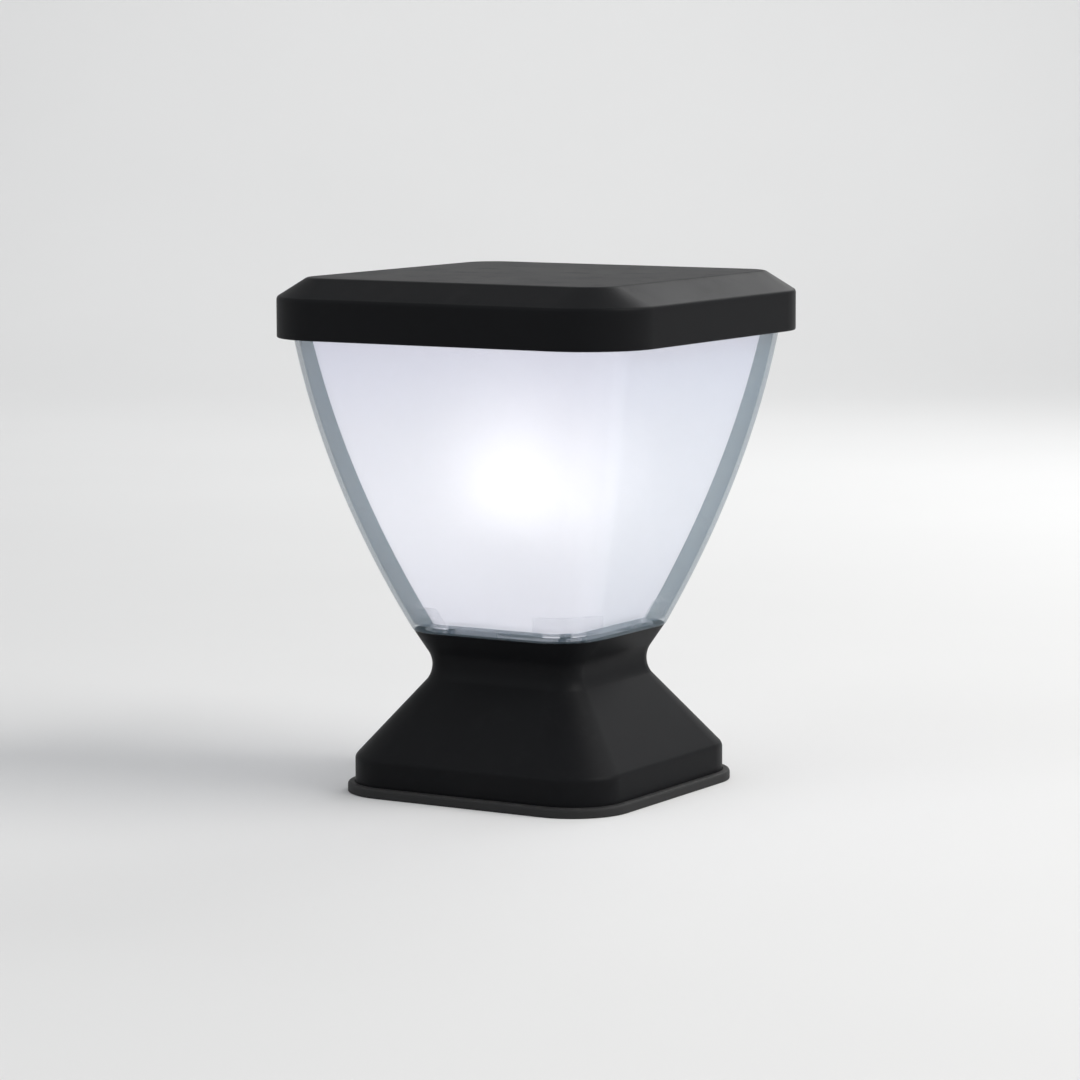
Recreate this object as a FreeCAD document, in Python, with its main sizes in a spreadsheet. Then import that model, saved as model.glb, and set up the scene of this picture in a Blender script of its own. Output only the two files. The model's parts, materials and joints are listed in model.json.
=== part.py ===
"""Pillar light: a square outdoor lamp with a clear barrel shade on a moulded base.

Millimetres. +Z is up, the front face looks along -Y, and the origin is the middle of
the foot's underside. Every size below is held once, in the spreadsheet "Sizes"; the
text expressions that follow work out every other place and size from those cells.
"""
import FreeCAD, Part
import math
import os
import re
import Sketcher
from FreeCAD import Placement, Rotation, Vector

os.makedirs("parts", exist_ok=True)
doc = FreeCAD.newDocument("PillarLight")

# ---------------------------------------------------------------- driving dimensions
DIMENSIONS = [
    # cap
    ("cap_width", 200.0, "cap, outside the skirt"),
    ("skirt_corner", 35.0, "skirt, outer corner radius"),
    ("skirt_height", 19.2, "skirt, lower edge to bevel"),
    ("bevel_height", 9.3, "bevel, rise"),
    ("bevel_inset", 16.2, "bevel, run inwards"),
    ("top_corner", 15.0, "flat top, corner radius"),
    ("cap_wall", 2.5, "cap, wall"),
    ("skirt_overlap", 11.0, "skirt, hang below the shade's rim"),
    ("skirt_edge_round", 0.8, "skirt, rounding of the lower edge"),
    ("liner_thickness", 2.0, "liner plate"),
    ("liner_gap", 3.0, "liner edge to skirt"),
    ("cap_gasket_height", 3.0, "cap gasket"),
    ("cap_gasket_grip", 2.2, "cap gasket, reach each side of the rim"),
    ("liner_boss_radius", 4.5, "cap bosses for the liner screws"),
    ("liner_screw_inset", 40.0, "liner screws, in from the skirt along X and Y"),
    # cap springs
    ("spring_width", 14.0, "leaf spring, width"),
    ("spring_thickness", 0.8, "leaf spring, thickness"),
    ("spring_foot_length", 16.0, "leaf spring, foot"),
    ("spring_bow", 3.5, "leaf spring, bow of the leg"),
    ("spring_touch_drop", 5.5, "leaf spring, touching height below the rim"),
    ("spring_tail_drop", 10.5, "leaf spring, tail below the rim"),
    ("spring_gap", 0.1, "leaf spring to the shade's mouth"),
    ("spring_boss_radius", 3.5, "liner bosses for the spring screws"),
    ("spring_boss_height", 4.0, "liner bosses for the spring screws"),
    # outer shade
    ("shade_height", 152.6, "outer shade, floor to rim"),
    ("shade_step", 0.4, "outer shade, foot beyond the collar on each side"),
    ("cap_overhang", 7.4, "outer shade, rim inside the skirt's face on each side"),
    ("shade_bulge", 5.8, "outer shade, bow of the side at mid height"),
    ("shade_corner", 24.0, "outer shade, outer corner radius"),
    ("shade_wall", 2.2, "outer shade, wall"),
    ("shade_floor", 3.2, "outer shade, floor"),
    ("shade_post_radius", 4.0, "screw posts, in the shade and in the base"),
    ("shade_post_height", 8.0, "shade posts above the floor"),
    ("shade_post_inset", 10.0, "screw posts, in from the neck's sides"),
    ("block_height", 8.4, "corner blocks that centre the diffuser"),
    ("opening_fit", 1.2, "openings round the lampholder, on the radius"),
    # diffuser
    ("diffuser_rim_drop", 4.0, "diffuser, rim below the outer shade's rim"),
    ("diffuser_foot_gap", 9.3, "diffuser to the outer shade's outside, at the floor"),
    ("diffuser_rim_gap", 9.0, "diffuser to the outer shade's outside, at the rim"),
    ("diffuser_bulge", 4.85, "diffuser, bow of the side at mid height"),
    ("diffuser_corner", 15.0, "diffuser, outer corner radius"),
    ("diffuser_wall", 2.0, "diffuser, wall"),
    ("diffuser_foot_depth", 2.0, "diffuser feet, depth in the shade's floor"),
    ("diffuser_notch", 6.0, "notch in each diffuser foot"),
    ("washer_width", 2.0, "push-on washer, ring width"),
    ("washer_thickness", 0.6, "push-on washer"),
    # base
    ("foot_bead", 3.7, "foot gasket, bead beyond the plinth"),
    ("foot_height", 4.7, "foot gasket, height"),
    ("foot_round", 1.6, "foot gasket, rounding of the top edge"),
    ("foot_lip", 1.8, "foot gasket, inner lip and groove floor"),
    ("plinth_width", 143.4, "plinth"),
    ("plinth_corner", 25.4, "plinth, corner radius"),
    ("plinth_level", 17.3, "plinth top, where the pyramid starts"),
    ("neck_width", 82.0, "neck, narrowest width"),
    ("neck_corner", 12.0, "neck, corner radius"),
    ("neck_level", 60.5, "neck, height of the narrowest place and of the deck"),
    ("waist_radius", 12.0, "waist, rounding above and below the neck"),
    ("waist_turn", 38.0, "waist, lean of the sides from upright in degrees"),
    ("collar_rise", 16.9, "collar top, where the shade stands, above the neck"),
    ("collar_flare", 9.6, "collar top beyond the neck on each side"),
    ("collar_corner", 23.5, "collar top, corner radius"),
    ("base_wall", 2.5, "base, wall"),
    ("deck_thickness", 3.0, "deck across the neck"),
    ("holder_boss_radius", 3.6, "bosses under the deck"),
    ("holder_boss_height", 6.0, "bosses under the deck"),
    ("shade_gasket_depth", 1.0, "shade gasket, squeezed height"),
    ("shade_gasket_width", 3.0, "shade gasket"),
    ("wire_hole_radius", 13.0, "wire hole in the deck"),
    # mounting plate
    ("plate_corner", 20.0, "mounting plate, corner radius"),
    ("plate_thickness", 1.5, "mounting plate"),
    ("plate_pad_height", 1.2, "pressed pads under the plate"),
    ("plate_pad_radius", 9.0, "pressed pads under the plate"),
    ("fixing_inset", 21.65, "fixing holes, in from the plate's edges"),
    ("fixing_hole_radius", 2.75, "fixing holes"),
    ("tab_width", 16.0, "tabs of the plate"),
    ("tab_height", 14.0, "tabs of the plate"),
    ("tab_inset", 11.3, "tabs of the plate, middle to where the plinth's corners start"),
    ("hook_rib_height", 3.0, "rib inside the plinth that the front tabs hook over"),
    ("lock_screw_level", 9.5, "lock screws, height"),
    ("grommet_bore_radius", 4.5, "cable grommet, bore"),
    ("grommet_neck_radius", 8.0, "cable grommet, neck in the plate"),
    ("grommet_flange_radius", 10.5, "cable grommet, flange"),
    ("grommet_flange", 1.0, "cable grommet, flange thickness"),
    # terminal block and leads
    ("block_length", 22.0, "terminal block, along the wires"),
    ("block_width", 20.0, "terminal block, across the wires"),
    ("block_tall", 14.0, "terminal block, height"),
    ("block_place", 30.0, "terminal block, from the axis"),
    ("pole_spacing", 10.0, "terminal block, pole to pole"),
    ("pole_height", 6.0, "terminal block, wire entry above its underside"),
    ("insert_radius", 2.5, "brass insert, outside"),
    ("insert_bore_radius", 1.5, "brass insert, bore"),
    ("insert_length", 17.0, "brass insert"),
    ("clamp_spacing", 9.0, "clamp screws of one pole"),
    ("clamp_screw_radius", 1.3, "clamp screw"),
    ("lead_radius", 1.2, "internal leads"),
    ("lead_drop", 14.5, "leads, end of the straight drop below the deck's top"),
    ("lead_slack_reach", 50.0, "leads, how far back the slack goes"),
    ("lead_slack_level", 27.0, "leads, height where the slack turns down"),
    ("lead_end", 1.0, "leads, end past the middle of the block"),
    # lampholder
    ("holder_height", 38.0, "lampholder"),
    ("holder_radius", 20.5, "lampholder"),
    ("holder_cavity", 8.0, "wiring space under the lampholder"),
    ("holder_wall", 4.5, "lampholder, wall round its wiring space"),
    ("holder_partition", 4.0, "partition that carries the contacts"),
    ("ear_offset", 6.5, "lampholder ears, screw to the lampholder's side"),
    ("ear_radius", 5.0, "lampholder ears"),
    ("ear_thickness", 5.0, "lampholder ears"),
    ("shell_sheet", 0.5, "brass sheet of the screw shells"),
    ("contact_height", 1.7, "centre contact above the partition"),
    ("contact_radius", 4.0, "centre contact"),
    ("pin_radius", 1.5, "contact pins through the partition"),
    ("neutral_pin_offset", 10.0, "pin of the screw shell, from the axis"),
    ("pin_drop", 3.0, "contact pins below the partition"),
    # lamp
    ("thread_crest_radius", 13.15, "lamp thread, crest"),
    ("thread_root_radius", 12.2, "lamp thread, root"),
    ("thread_pitch", 3.629, "E27 thread, pitch"),
    ("thread_turns", 4.0, "E27 thread, turns"),
    ("ridge_foot", 1.6, "thread ridge, width at its foot"),
    ("ridge_crest", 0.8, "thread ridge, width at its crest"),
    ("lamp_cap_length", 25.7, "lamp, tip to housing"),
    ("insulator_height", 3.2, "lamp, glass insulator"),
    ("button_radius", 4.5, "lamp, centre button"),
    ("button_height", 1.2, "lamp, centre button"),
    ("housing_height", 36.0, "lamp housing, above its cap"),
    ("housing_radius", 27.4, "lamp housing, at the globe"),
    ("housing_wall", 2.0, "lamp housing"),
    ("globe_radius", 30.0, "lamp globe"),
    ("globe_drop", 16.0, "lamp globe, centre above the housing"),
    ("globe_wall", 1.2, "lamp globe"),
    ("globe_neck_fit", 1.2, "globe neck in the housing, on the radius"),
    ("led_board_thickness", 1.5, "LED board"),
    ("led_board_drop", 3.0, "LED board, face below the housing's rim"),
    ("led_length", 3.5, "LED, along the circle"),
    ("led_width", 2.8, "LED, across the circle"),
    ("led_height", 0.7, "LED"),
    ("led_circle_radius", 14.0, "LEDs, circle they stand on"),
    ("driver_height", 24.0, "driver board"),
    ("driver_width", 18.0, "driver board"),
    ("driver_thickness", 1.6, "driver board"),
    # screws and fits
    ("screw_radius", 1.9, "shade, lampholder, liner and lock screws"),
    ("screw_head_radius", 3.6, "their heads"),
    ("screw_head_height", 2.2, "their heads"),
    ("small_screw_radius", 1.4, "spring and terminal block screws"),
    ("small_head_radius", 2.6, "their heads"),
    ("small_head_height", 1.6, "their heads"),
    ("recess_width", 0.9, "cross recess in the heads"),
    ("recess_depth", 1.1, "cross recess in the heads"),
    ("screw_stop", 2.0, "screw ends, short of the end of a boss"),
    ("blind_end", 0.8, "material left at the end of a blind hole"),
    ("screw_fit", 0.1, "screw in its hole, on the radius"),
    ("slip_fit", 0.3, "loose fit between fixed pieces"),
    ("contact_gap", 0.1, "contacts that touch when pressed"),
    ("seal_fit", 0.15, "rubber beside a wall"),
]

sizes = doc.addObject("Spreadsheet::Sheet", "Sizes")
for row, (alias, value, meaning) in enumerate(DIMENSIONS, start=1):
    sizes.set(f"A{row}", meaning)
    sizes.set(f"B{row}", str(value))
    sizes.setAlias(f"B{row}", alias)
doc.recompute()
ALIAS = re.compile(r"\b(" + "|".join(alias for alias, value, meaning in DIMENSIONS) + r")\b")


def link(text):
    """The expression with each size pointing at its spreadsheet cell."""
    return ALIAS.sub(r"Sizes.\1", text)


def number(text):
    """The value of an expression now."""
    return float(sizes.evalExpression(link(text)))


# ---------------------------------------------------------------- derived places
FULL_TURN = 360
TOUCHING = 1e-6
RECESS_SHARE = 0.6
DIAGONAL = "cos(45)"
BARREL_STEPS = 5
WAIST_SHARES = (-1, -0.5, 0, 0.5, 1)
LEAD_BEND_SHARE = 0.45
LED_COUNT = 10

COLLAR = "(neck_level + collar_rise)"
COLLAR_WIDTH = "(neck_width + 2 * collar_flare)"
POST_PLACE = "(neck_width / 2 - shade_post_inset)"
SHADE_BASE = f"({COLLAR_WIDTH} + 2 * shade_step)"
SHADE_MOUTH = "(cap_width - 2 * cap_overhang)"
DIFFUSER_BASE = f"({SHADE_BASE} - 2 * diffuser_foot_gap)"
DIFFUSER_MOUTH = f"({SHADE_MOUTH} - 2 * diffuser_rim_gap)"
RIM = f"({COLLAR} + shade_height)"
LINER_UNDER = f"({RIM} + cap_gasket_height)"
LINER_TOP = f"({LINER_UNDER} + liner_thickness)"
SKIRT_BOTTOM = f"({RIM} - skirt_overlap)"
SKIRT_TOP = f"({SKIRT_BOTTOM} + skirt_height)"
CAP_TOP = f"({SKIRT_TOP} + bevel_height)"
CAP_UNDER = f"({CAP_TOP} - cap_wall)"
BEVEL_LEAN = "atan(bevel_inset / bevel_height)"
BEVEL_SLOPE = "atan(bevel_height / bevel_inset)"
FLOOR_TOP = f"({COLLAR} + shade_floor)"
DIFFUSER_CENTRE = f"({DIFFUSER_BASE} / 2 - diffuser_corner)"
DIFFUSER_FLOOR = f"({FLOOR_TOP} + diffuser_wall)"
DIFFUSER_RIM = f"({RIM} - diffuser_rim_drop)"
LINER_SCREW = "(cap_width / 2 - liner_screw_inset)"
GASKET_SEAT = "foot_lip"
DECK_UNDER = "(neck_level - deck_thickness)"
PLINTH_INSIDE = "(plinth_width / 2 - base_wall)"
TAB_FACE = f"({PLINTH_INSIDE} - foot_lip - seal_fit - slip_fit)"
PLATE_HALF = f"({TAB_FACE} - slip_fit)"
PLATE_TOP = "(plate_pad_height + plate_thickness)"
FIXING_PLACE = f"({PLATE_HALF} - fixing_inset)"
TAB_PLACE = f"({PLINTH_INSIDE} - plinth_corner + base_wall - tab_inset)"
TAB_TOP = f"({PLATE_TOP} + tab_height)"
LOCKS = [(TAB_PLACE, "lock_screw_level"), (f"-{TAB_PLACE}", "lock_screw_level")]
HOOK_LEVEL = f"({TAB_TOP} - plate_thickness)"
BLOCK_TOP = f"({PLATE_TOP} + block_tall)"
POLE_LEVEL = f"({PLATE_TOP} + pole_height)"
POLES = [("pole_spacing / 2", POLE_LEVEL), ("-pole_spacing / 2", POLE_LEVEL)]
CLAMPS = [(f"{x}pole_spacing / 2", f"block_place {y} clamp_spacing / 2")
          for y in "-+" for x in ("-", "")]
SCREW_HOLE = "(screw_radius + screw_fit)"
SMALL_HOLE = "(small_screw_radius + screw_fit)"
SHELL_SEAT = "(neck_level + holder_cavity + holder_partition)"
HOLDER_TOP = "(neck_level + holder_height)"
HOLDER_INSIDE = "(holder_radius - holder_wall)"
EAR_REACH = "(holder_radius + ear_offset)"
PIN_END = "(neck_level + holder_cavity - pin_drop)"
HOLDER_SHELL_INSIDE = "(thread_crest_radius + slip_fit)"
HOLDER_SHELL_OUTSIDE = f"({HOLDER_SHELL_INSIDE} + shell_sheet)"
HOLDER_BORE = f"({HOLDER_SHELL_OUTSIDE} + seal_fit)"
HOLDER_OPENING = "(holder_radius + opening_fit)"
LAMP_TIP = f"({SHELL_SEAT} + contact_height + contact_gap)"
LAMP_SHELL = f"({LAMP_TIP} + button_height + insulator_height - shell_sheet)"
LAMP_SHELL_INSIDE = "(thread_root_radius - shell_sheet)"
LAMP_PLUG = f"({LAMP_SHELL_INSIDE} - slip_fit)"
HOUSING = f"({LAMP_TIP} + lamp_cap_length)"
HOUSING_TOP = f"({HOUSING} + housing_height)"
HOUSING_BORE = "(housing_radius - housing_wall)"
GLOBE_CENTRE = f"({HOUSING_TOP} + globe_drop)"
GLOBE_NECK_RADIUS = f"({HOUSING_BORE} - globe_neck_fit)"
LED_BOARD_TOP = f"({HOUSING_TOP} - led_board_drop)"
LED_BOARD = f"({LED_BOARD_TOP} - led_board_thickness)"
THREAD_START = f"({LAMP_SHELL} + ridge_foot + shell_sheet)"


def four(offset):
    """The four places at plus and minus an offset along X and Y."""
    return [(f"{x}{offset}", f"{y}{offset}") for x in ("", "-") for y in ("", "-")]


def cross(offset):
    """Four places on the X and Y axes."""
    return [(offset, "0"), ("0", offset), (f"-({offset})", "0"), ("0", f"-({offset})")]


def shade_half(level):
    """Half the outer shade's width at a level: a straight lean with a bow on it."""
    rise = f"(({level} - {COLLAR}) / shade_height)"
    lean = f"({SHADE_BASE} + ({SHADE_MOUTH} - {SHADE_BASE}) * {rise}) / 2"
    return f"({lean} + 4 * shade_bulge * {rise} * (1 - {rise}))"


def diffuser_half(level):
    """Half the diffuser's width at a level, bowed in the same way."""
    rise = f"(({level} - {FLOOR_TOP}) / ({DIFFUSER_RIM} - {FLOOR_TOP}))"
    lean = f"({DIFFUSER_BASE} + ({DIFFUSER_MOUTH} - {DIFFUSER_BASE}) * {rise}) / 2"
    return f"({lean} + 4 * diffuser_bulge * {rise} * (1 - {rise}))"


BLOCK_OUTER = f"({shade_half(FLOOR_TOP)} - shade_wall / 2 - {DIFFUSER_CENTRE})"
SPRING_TOUCH = f"({RIM} - spring_touch_drop)"
SPRING_REACH = f"({shade_half(SPRING_TOUCH)} - shade_wall - spring_gap)"
SPRING_BEND = f"({SPRING_REACH} - spring_bow)"
SPRING_SCREW = f"({SPRING_BEND} - spring_foot_length / 2)"


def waist(share):
    """Level, half width and corner of the waist at a share, -1 to 1, of its turn."""
    level = f"(neck_level + waist_radius * sin(waist_turn * {share}))"
    grow = f"waist_radius * (1 - cos(waist_turn * {share}))"
    return level, f"(neck_width / 2 + {grow})", f"(neck_corner + {grow})"


# ---------------------------------------------------------------- drawing helpers
pieces = []


def piece(thing, label):
    """Names a finished sub-part and lists it for export."""
    thing.Label = label
    pieces.append(thing)
    return thing


def new_body(name):
    return doc.addObject("PartDesign::Body", name)


def origin_feature(body, role):
    return [item for item in body.Origin.OriginFeatures if item.Role == role][0]


def new_sketch(body, name, role="XY_Plane", x="0", y="0", offset="0"):
    """A sketch on one of the body's own planes, shifted in it and lifted off it."""
    sketch = body.newObject("Sketcher::SketchObject", name)
    sketch.AttachmentSupport = [(origin_feature(body, role), "")]
    sketch.MapMode = "FlatFace"
    for axis, text in (("x", x), ("y", y), ("z", offset)):
        sketch.setExpression(f"AttachmentOffset.Base.{axis}", link(text))
    return sketch


def hold(sketch, kind, geometry, point, text, label):
    """Drives one distance from the sketch's origin by an expression."""
    index = sketch.addConstraint(Sketcher.Constraint(kind, -1, 1, geometry, point, number(text)))
    sketch.renameConstraint(index, label)
    sketch.setExpression(f"Constraints.{label}", link(text))


def hold_radius(sketch, geometry, text, label):
    index = sketch.addConstraint(Sketcher.Constraint("Radius", geometry, number(text)))
    sketch.renameConstraint(index, label)
    sketch.setExpression(f"Constraints.{label}", link(text))


def outline(body, name, corners, **place):
    """A closed outline of straight lines through the given corners."""
    sketch = new_sketch(body, name, **place)
    points = [Vector(number(x), number(y), 0) for x, y in corners]
    count = len(points)
    for i in range(count):
        sketch.addGeometry(Part.LineSegment(points[i], points[(i + 1) % count]), False)
    for i in range(count):
        sketch.addConstraint(Sketcher.Constraint("Coincident", i, 2, (i + 1) % count, 1))
    for i, (x, y) in enumerate(corners):
        hold(sketch, "DistanceX", i, 1, x, f"x{i}")
        hold(sketch, "DistanceY", i, 1, y, f"y{i}")
    return sketch


def draw_rounded_square(sketch, half, radius, label=""):
    """Adds a rounded square about the sketch's origin."""
    first = sketch.GeometryCount
    size, bend = number(half), number(radius)
    centre = size - bend
    for k in range(4):
        turn = Rotation(Vector(0, 0, 1), 90 * k)
        start = turn.multVec(Vector(size, -centre, 0))
        end = turn.multVec(Vector(size, centre, 0))
        sketch.addGeometry(Part.LineSegment(start, end), False)
    for k in range(4):
        middle = Rotation(Vector(0, 0, 1), 90 * k).multVec(Vector(centre, centre, 0))
        circle = Part.Circle(middle, Vector(0, 0, 1), bend)
        sketch.addGeometry(Part.ArcOfCircle(circle, k * math.pi / 2, (k + 1) * math.pi / 2), False)
    sides = [first + k for k in range(4)]
    arcs = [first + 4 + k for k in range(4)]
    for k in range(4):
        sketch.addConstraint(Sketcher.Constraint("Tangent", sides[k], 2, arcs[k], 1))
        sketch.addConstraint(Sketcher.Constraint("Tangent", arcs[k], 2, sides[(k + 1) % 4], 1))
        sketch.addConstraint(Sketcher.Constraint(("Vertical", "Horizontal")[k % 2], sides[k]))
    for arc in arcs[1:]:
        sketch.addConstraint(Sketcher.Constraint("Equal", arcs[0], arc))
    sketch.addConstraint(Sketcher.Constraint("Symmetric", sides[0], 1, sides[2], 1, -1, 1))
    sketch.addConstraint(Sketcher.Constraint("Equal", sides[0], sides[1]))
    hold(sketch, "DistanceX", sides[0], 1, half, f"half{label}")
    hold_radius(sketch, arcs[0], radius, f"corner{label}")


def rounded_square(body, name, half, radius, level):
    sketch = new_sketch(body, name, offset=level)
    draw_rounded_square(sketch, half, radius)
    return sketch


def rounded_ring(body, name, outer, inner, level):
    """Two rounded squares, one inside the other, each a (half width, corner) pair."""
    sketch = new_sketch(body, name, offset=level)
    draw_rounded_square(sketch, *outer, label="_outer")
    draw_rounded_square(sketch, *inner, label="_inner")
    return sketch


def circles(body, name, radius, centres, **place):
    """Equal circles at the given centres."""
    sketch = new_sketch(body, name, **place)
    for i, (x, y) in enumerate(centres):
        centre = Vector(number(x), number(y), 0)
        sketch.addGeometry(Part.Circle(centre, Vector(0, 0, 1), number(radius)), False)
        hold(sketch, "DistanceX", i, 3, x, f"x{i}")
        hold(sketch, "DistanceY", i, 3, y, f"y{i}")
        hold_radius(sketch, i, radius, f"radius{i}")
    return sketch


def corner_arc(body, name, inner, outer, centre, level):
    """A quarter ring about a corner's centre, in the +X +Y corner."""
    sketch = new_sketch(body, name, x=centre, y=centre, offset=level)
    near, far = number(inner), number(outer)
    axis = Vector(0, 0, 1)
    for size in (near, far):
        arc = Part.ArcOfCircle(Part.Circle(Vector(), axis, size), 0, math.pi / 2)
        sketch.addGeometry(arc, False)
    sketch.addGeometry(Part.LineSegment(Vector(near, 0, 0), Vector(far, 0, 0)), False)
    sketch.addGeometry(Part.LineSegment(Vector(0, near, 0), Vector(0, far, 0)), False)
    for line, end in ((2, 1), (3, 2)):
        sketch.addConstraint(Sketcher.Constraint("Coincident", line, 1, 0, end))
        sketch.addConstraint(Sketcher.Constraint("Coincident", line, 2, 1, end))
    for arc in (0, 1):
        sketch.addConstraint(Sketcher.Constraint("Coincident", arc, 3, -1, 1))
    sketch.addConstraint(Sketcher.Constraint("PointOnObject", 0, 1, -1))
    sketch.addConstraint(Sketcher.Constraint("Horizontal", 2))
    sketch.addConstraint(Sketcher.Constraint("PointOnObject", 0, 2, -2))
    sketch.addConstraint(Sketcher.Constraint("Vertical", 3))
    hold_radius(sketch, 0, inner, "inner")
    hold_radius(sketch, 1, outer, "outer")
    return sketch


# ---------------------------------------------------------------- feature helpers
def pad(body, sketch, length, name="Pad", both_ways=False):
    feature = body.newObject("PartDesign::Pad", name)
    feature.Profile = sketch
    feature.setExpression("Length", link(length))
    if both_ways:
        feature.Midplane = True
    doc.recompute()
    return feature


def pocket(body, sketch, depth, name="Pocket", upwards=True):
    """Cuts from the sketch, upwards or downwards, and makes sure that something went."""
    before = body.Shape.Volume
    feature = body.newObject("PartDesign::Pocket", name)
    feature.Profile = sketch
    feature.Reversed = upwards
    feature.setExpression("Length", link(depth))
    doc.recompute()
    if not body.Shape.Volume < before:
        raise ValueError(f"{body.Name} {name} cuts nothing")
    return feature


def revolve(body, sketch, name="Turned"):
    feature = body.newObject("PartDesign::Revolution", name)
    feature.Profile = sketch
    feature.ReferenceAxis = (sketch, ["V_Axis"])
    feature.Angle = FULL_TURN
    doc.recompute()
    return feature


def loft(body, sections, name, ruled=True, cut=False):
    kind = "PartDesign::SubtractiveLoft" if cut else "PartDesign::AdditiveLoft"
    feature = body.newObject(kind, name)
    feature.Profile = sections[0]
    feature.Sections = sections[1:]
    feature.Ruled = ruled
    doc.recompute()
    return feature


def around(body, features, count, name="Around"):
    """Repeats features about the upright axis."""
    feature = body.newObject("PartDesign::PolarPattern", name)
    feature.Originals = features
    feature.Axis = (origin_feature(body, "Z_Axis"), [""])
    feature.Angle = FULL_TURN
    feature.Occurrences = count
    body.Tip = feature
    doc.recompute()
    return feature


def round_edges(body, level, half, radius, name="Rounded"):
    """Rounds the edges that lie flat at a level and reach a half width."""
    height, reach = number(level), number(half)
    names = []
    for index, edge in enumerate(body.Shape.Edges, start=1):
        box = edge.BoundBox
        flat = box.ZLength < TOUCHING and abs(box.ZMin - height) < TOUCHING
        furthest = max(-box.XMin, box.XMax, -box.YMin, box.YMax)
        if flat and abs(furthest - reach) < TOUCHING:
            names.append(f"Edge{index}")
    base = body.Tip
    feature = body.newObject("PartDesign::Fillet", name)
    feature.Base = (base, names)
    feature.setExpression("Radius", link(radius))
    doc.recompute()
    return feature


def screws(label, head, shank, length, x, y, top, count, head_up=True):
    """Equal screws about the upright axis: head and shank sizes, and the head's outer face.

    head is (radius, height); the first screw stands at x, y.
    """
    head_radius, head_height = head
    way = "-" if head_up else ""
    body = new_body(label)
    profile = outline(body, "Profile", [
        ("0", "0"), (head_radius, "0"), (head_radius, f"{way}({head_height})"),
        (shank, f"{way}({head_height})"), (shank, f"{way}({length})"),
        ("0", f"{way}({length} + {shank} / 2)"),
    ], role="XZ_Plane", x=x, y=top, offset=f"-({y})")
    turned = revolve(body, profile)
    near, far = "recess_width / 2", f"{head_radius} * {RECESS_SHARE}"
    arm = [(near, near), (near, far), (f"-{near}", far)]
    corners = []
    for quarter in range(4):
        corners += arm
        arm = [(f"-({b})", a) for a, b in arm]
    plus = outline(body, "Plus", corners, x=x, y=y, offset=top)
    recess = pocket(body, plus, "recess_depth", "Recess", upwards=not head_up)
    if count > 1:
        around(body, [turned, recess], count)
    return piece(body, label)


SCREW_HEAD = ("screw_head_radius", "screw_head_height")
SMALL_HEAD = ("small_head_radius", "small_head_height")


# ---------------------------------------------------------------- cap
def make_cap_shell():
    body = new_body("Cap")
    wide, narrow = "cap_width / 2", "cap_width / 2 - bevel_inset"
    skirt = rounded_square(body, "Skirt", wide, "skirt_corner", SKIRT_BOTTOM)
    pad(body, skirt, "skirt_height", "Skirt")
    loft(body, [
        rounded_square(body, "BevelLow", wide, "skirt_corner", SKIRT_TOP),
        rounded_square(body, "BevelTop", narrow, "top_corner", CAP_TOP),
    ], "Bevel")
    round_edges(body, SKIRT_BOTTOM, wide, "skirt_edge_round")
    inside = f"{wide} - cap_wall"
    shoulder = f"cap_wall * tan({BEVEL_LEAN} / 2)"
    edge = f"cap_wall * tan({BEVEL_SLOPE} / 2)"
    loft(body, [
        rounded_square(body, "InLow", inside, "skirt_corner - cap_wall", SKIRT_BOTTOM),
        rounded_square(body, "InHigh", inside, "skirt_corner - cap_wall", f"{SKIRT_TOP} - {shoulder}"),
        rounded_square(body, "InTop", f"{narrow} - {edge}", f"top_corner - {edge}", CAP_UNDER),
    ], "Inside", cut=True)
    bosses = circles(body, "Bosses", "liner_boss_radius", four(LINER_SCREW), offset=LINER_TOP)
    pad(body, bosses, f"{CAP_UNDER} - {LINER_TOP}", "Boss")
    holes = circles(body, "Holes", SCREW_HOLE, four(LINER_SCREW), offset=LINER_TOP)
    pocket(body, holes, f"{CAP_UNDER} - {LINER_TOP} - blind_end", "Pilot")
    return piece(body, "cap_shell")


def make_cap_liner():
    body = new_body("Liner")
    half = "cap_width / 2 - cap_wall - liner_gap"
    corner = "skirt_corner - cap_wall - liner_gap"
    pad(body, rounded_square(body, "Plate", half, corner, LINER_UNDER), "liner_thickness")
    bosses = circles(body, "Bosses", "spring_boss_radius", cross(SPRING_SCREW), offset=LINER_TOP)
    pad(body, bosses, "spring_boss_height", "Boss")
    pilots = circles(body, "Pilots", SMALL_HOLE, cross(SPRING_SCREW), offset=LINER_UNDER)
    pocket(body, pilots, "liner_thickness + spring_boss_height - blind_end", "Pilot")
    holes = circles(body, "Holes", SCREW_HOLE, four(LINER_SCREW), offset=LINER_UNDER)
    pocket(body, holes, "liner_thickness", "Through")
    return piece(body, "cap_liner")


def make_cap_gasket():
    body = new_body("CapGasket")
    outer = (f"{shade_half(RIM)} + cap_gasket_grip", "shade_corner + cap_gasket_grip")
    inner = (f"{shade_half(RIM)} - shade_wall - cap_gasket_grip",
             "shade_corner - shade_wall - cap_gasket_grip")
    pad(body, rounded_ring(body, "Ring", outer, inner, RIM), "cap_gasket_height")
    return piece(body, "cap_gasket")


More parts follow.
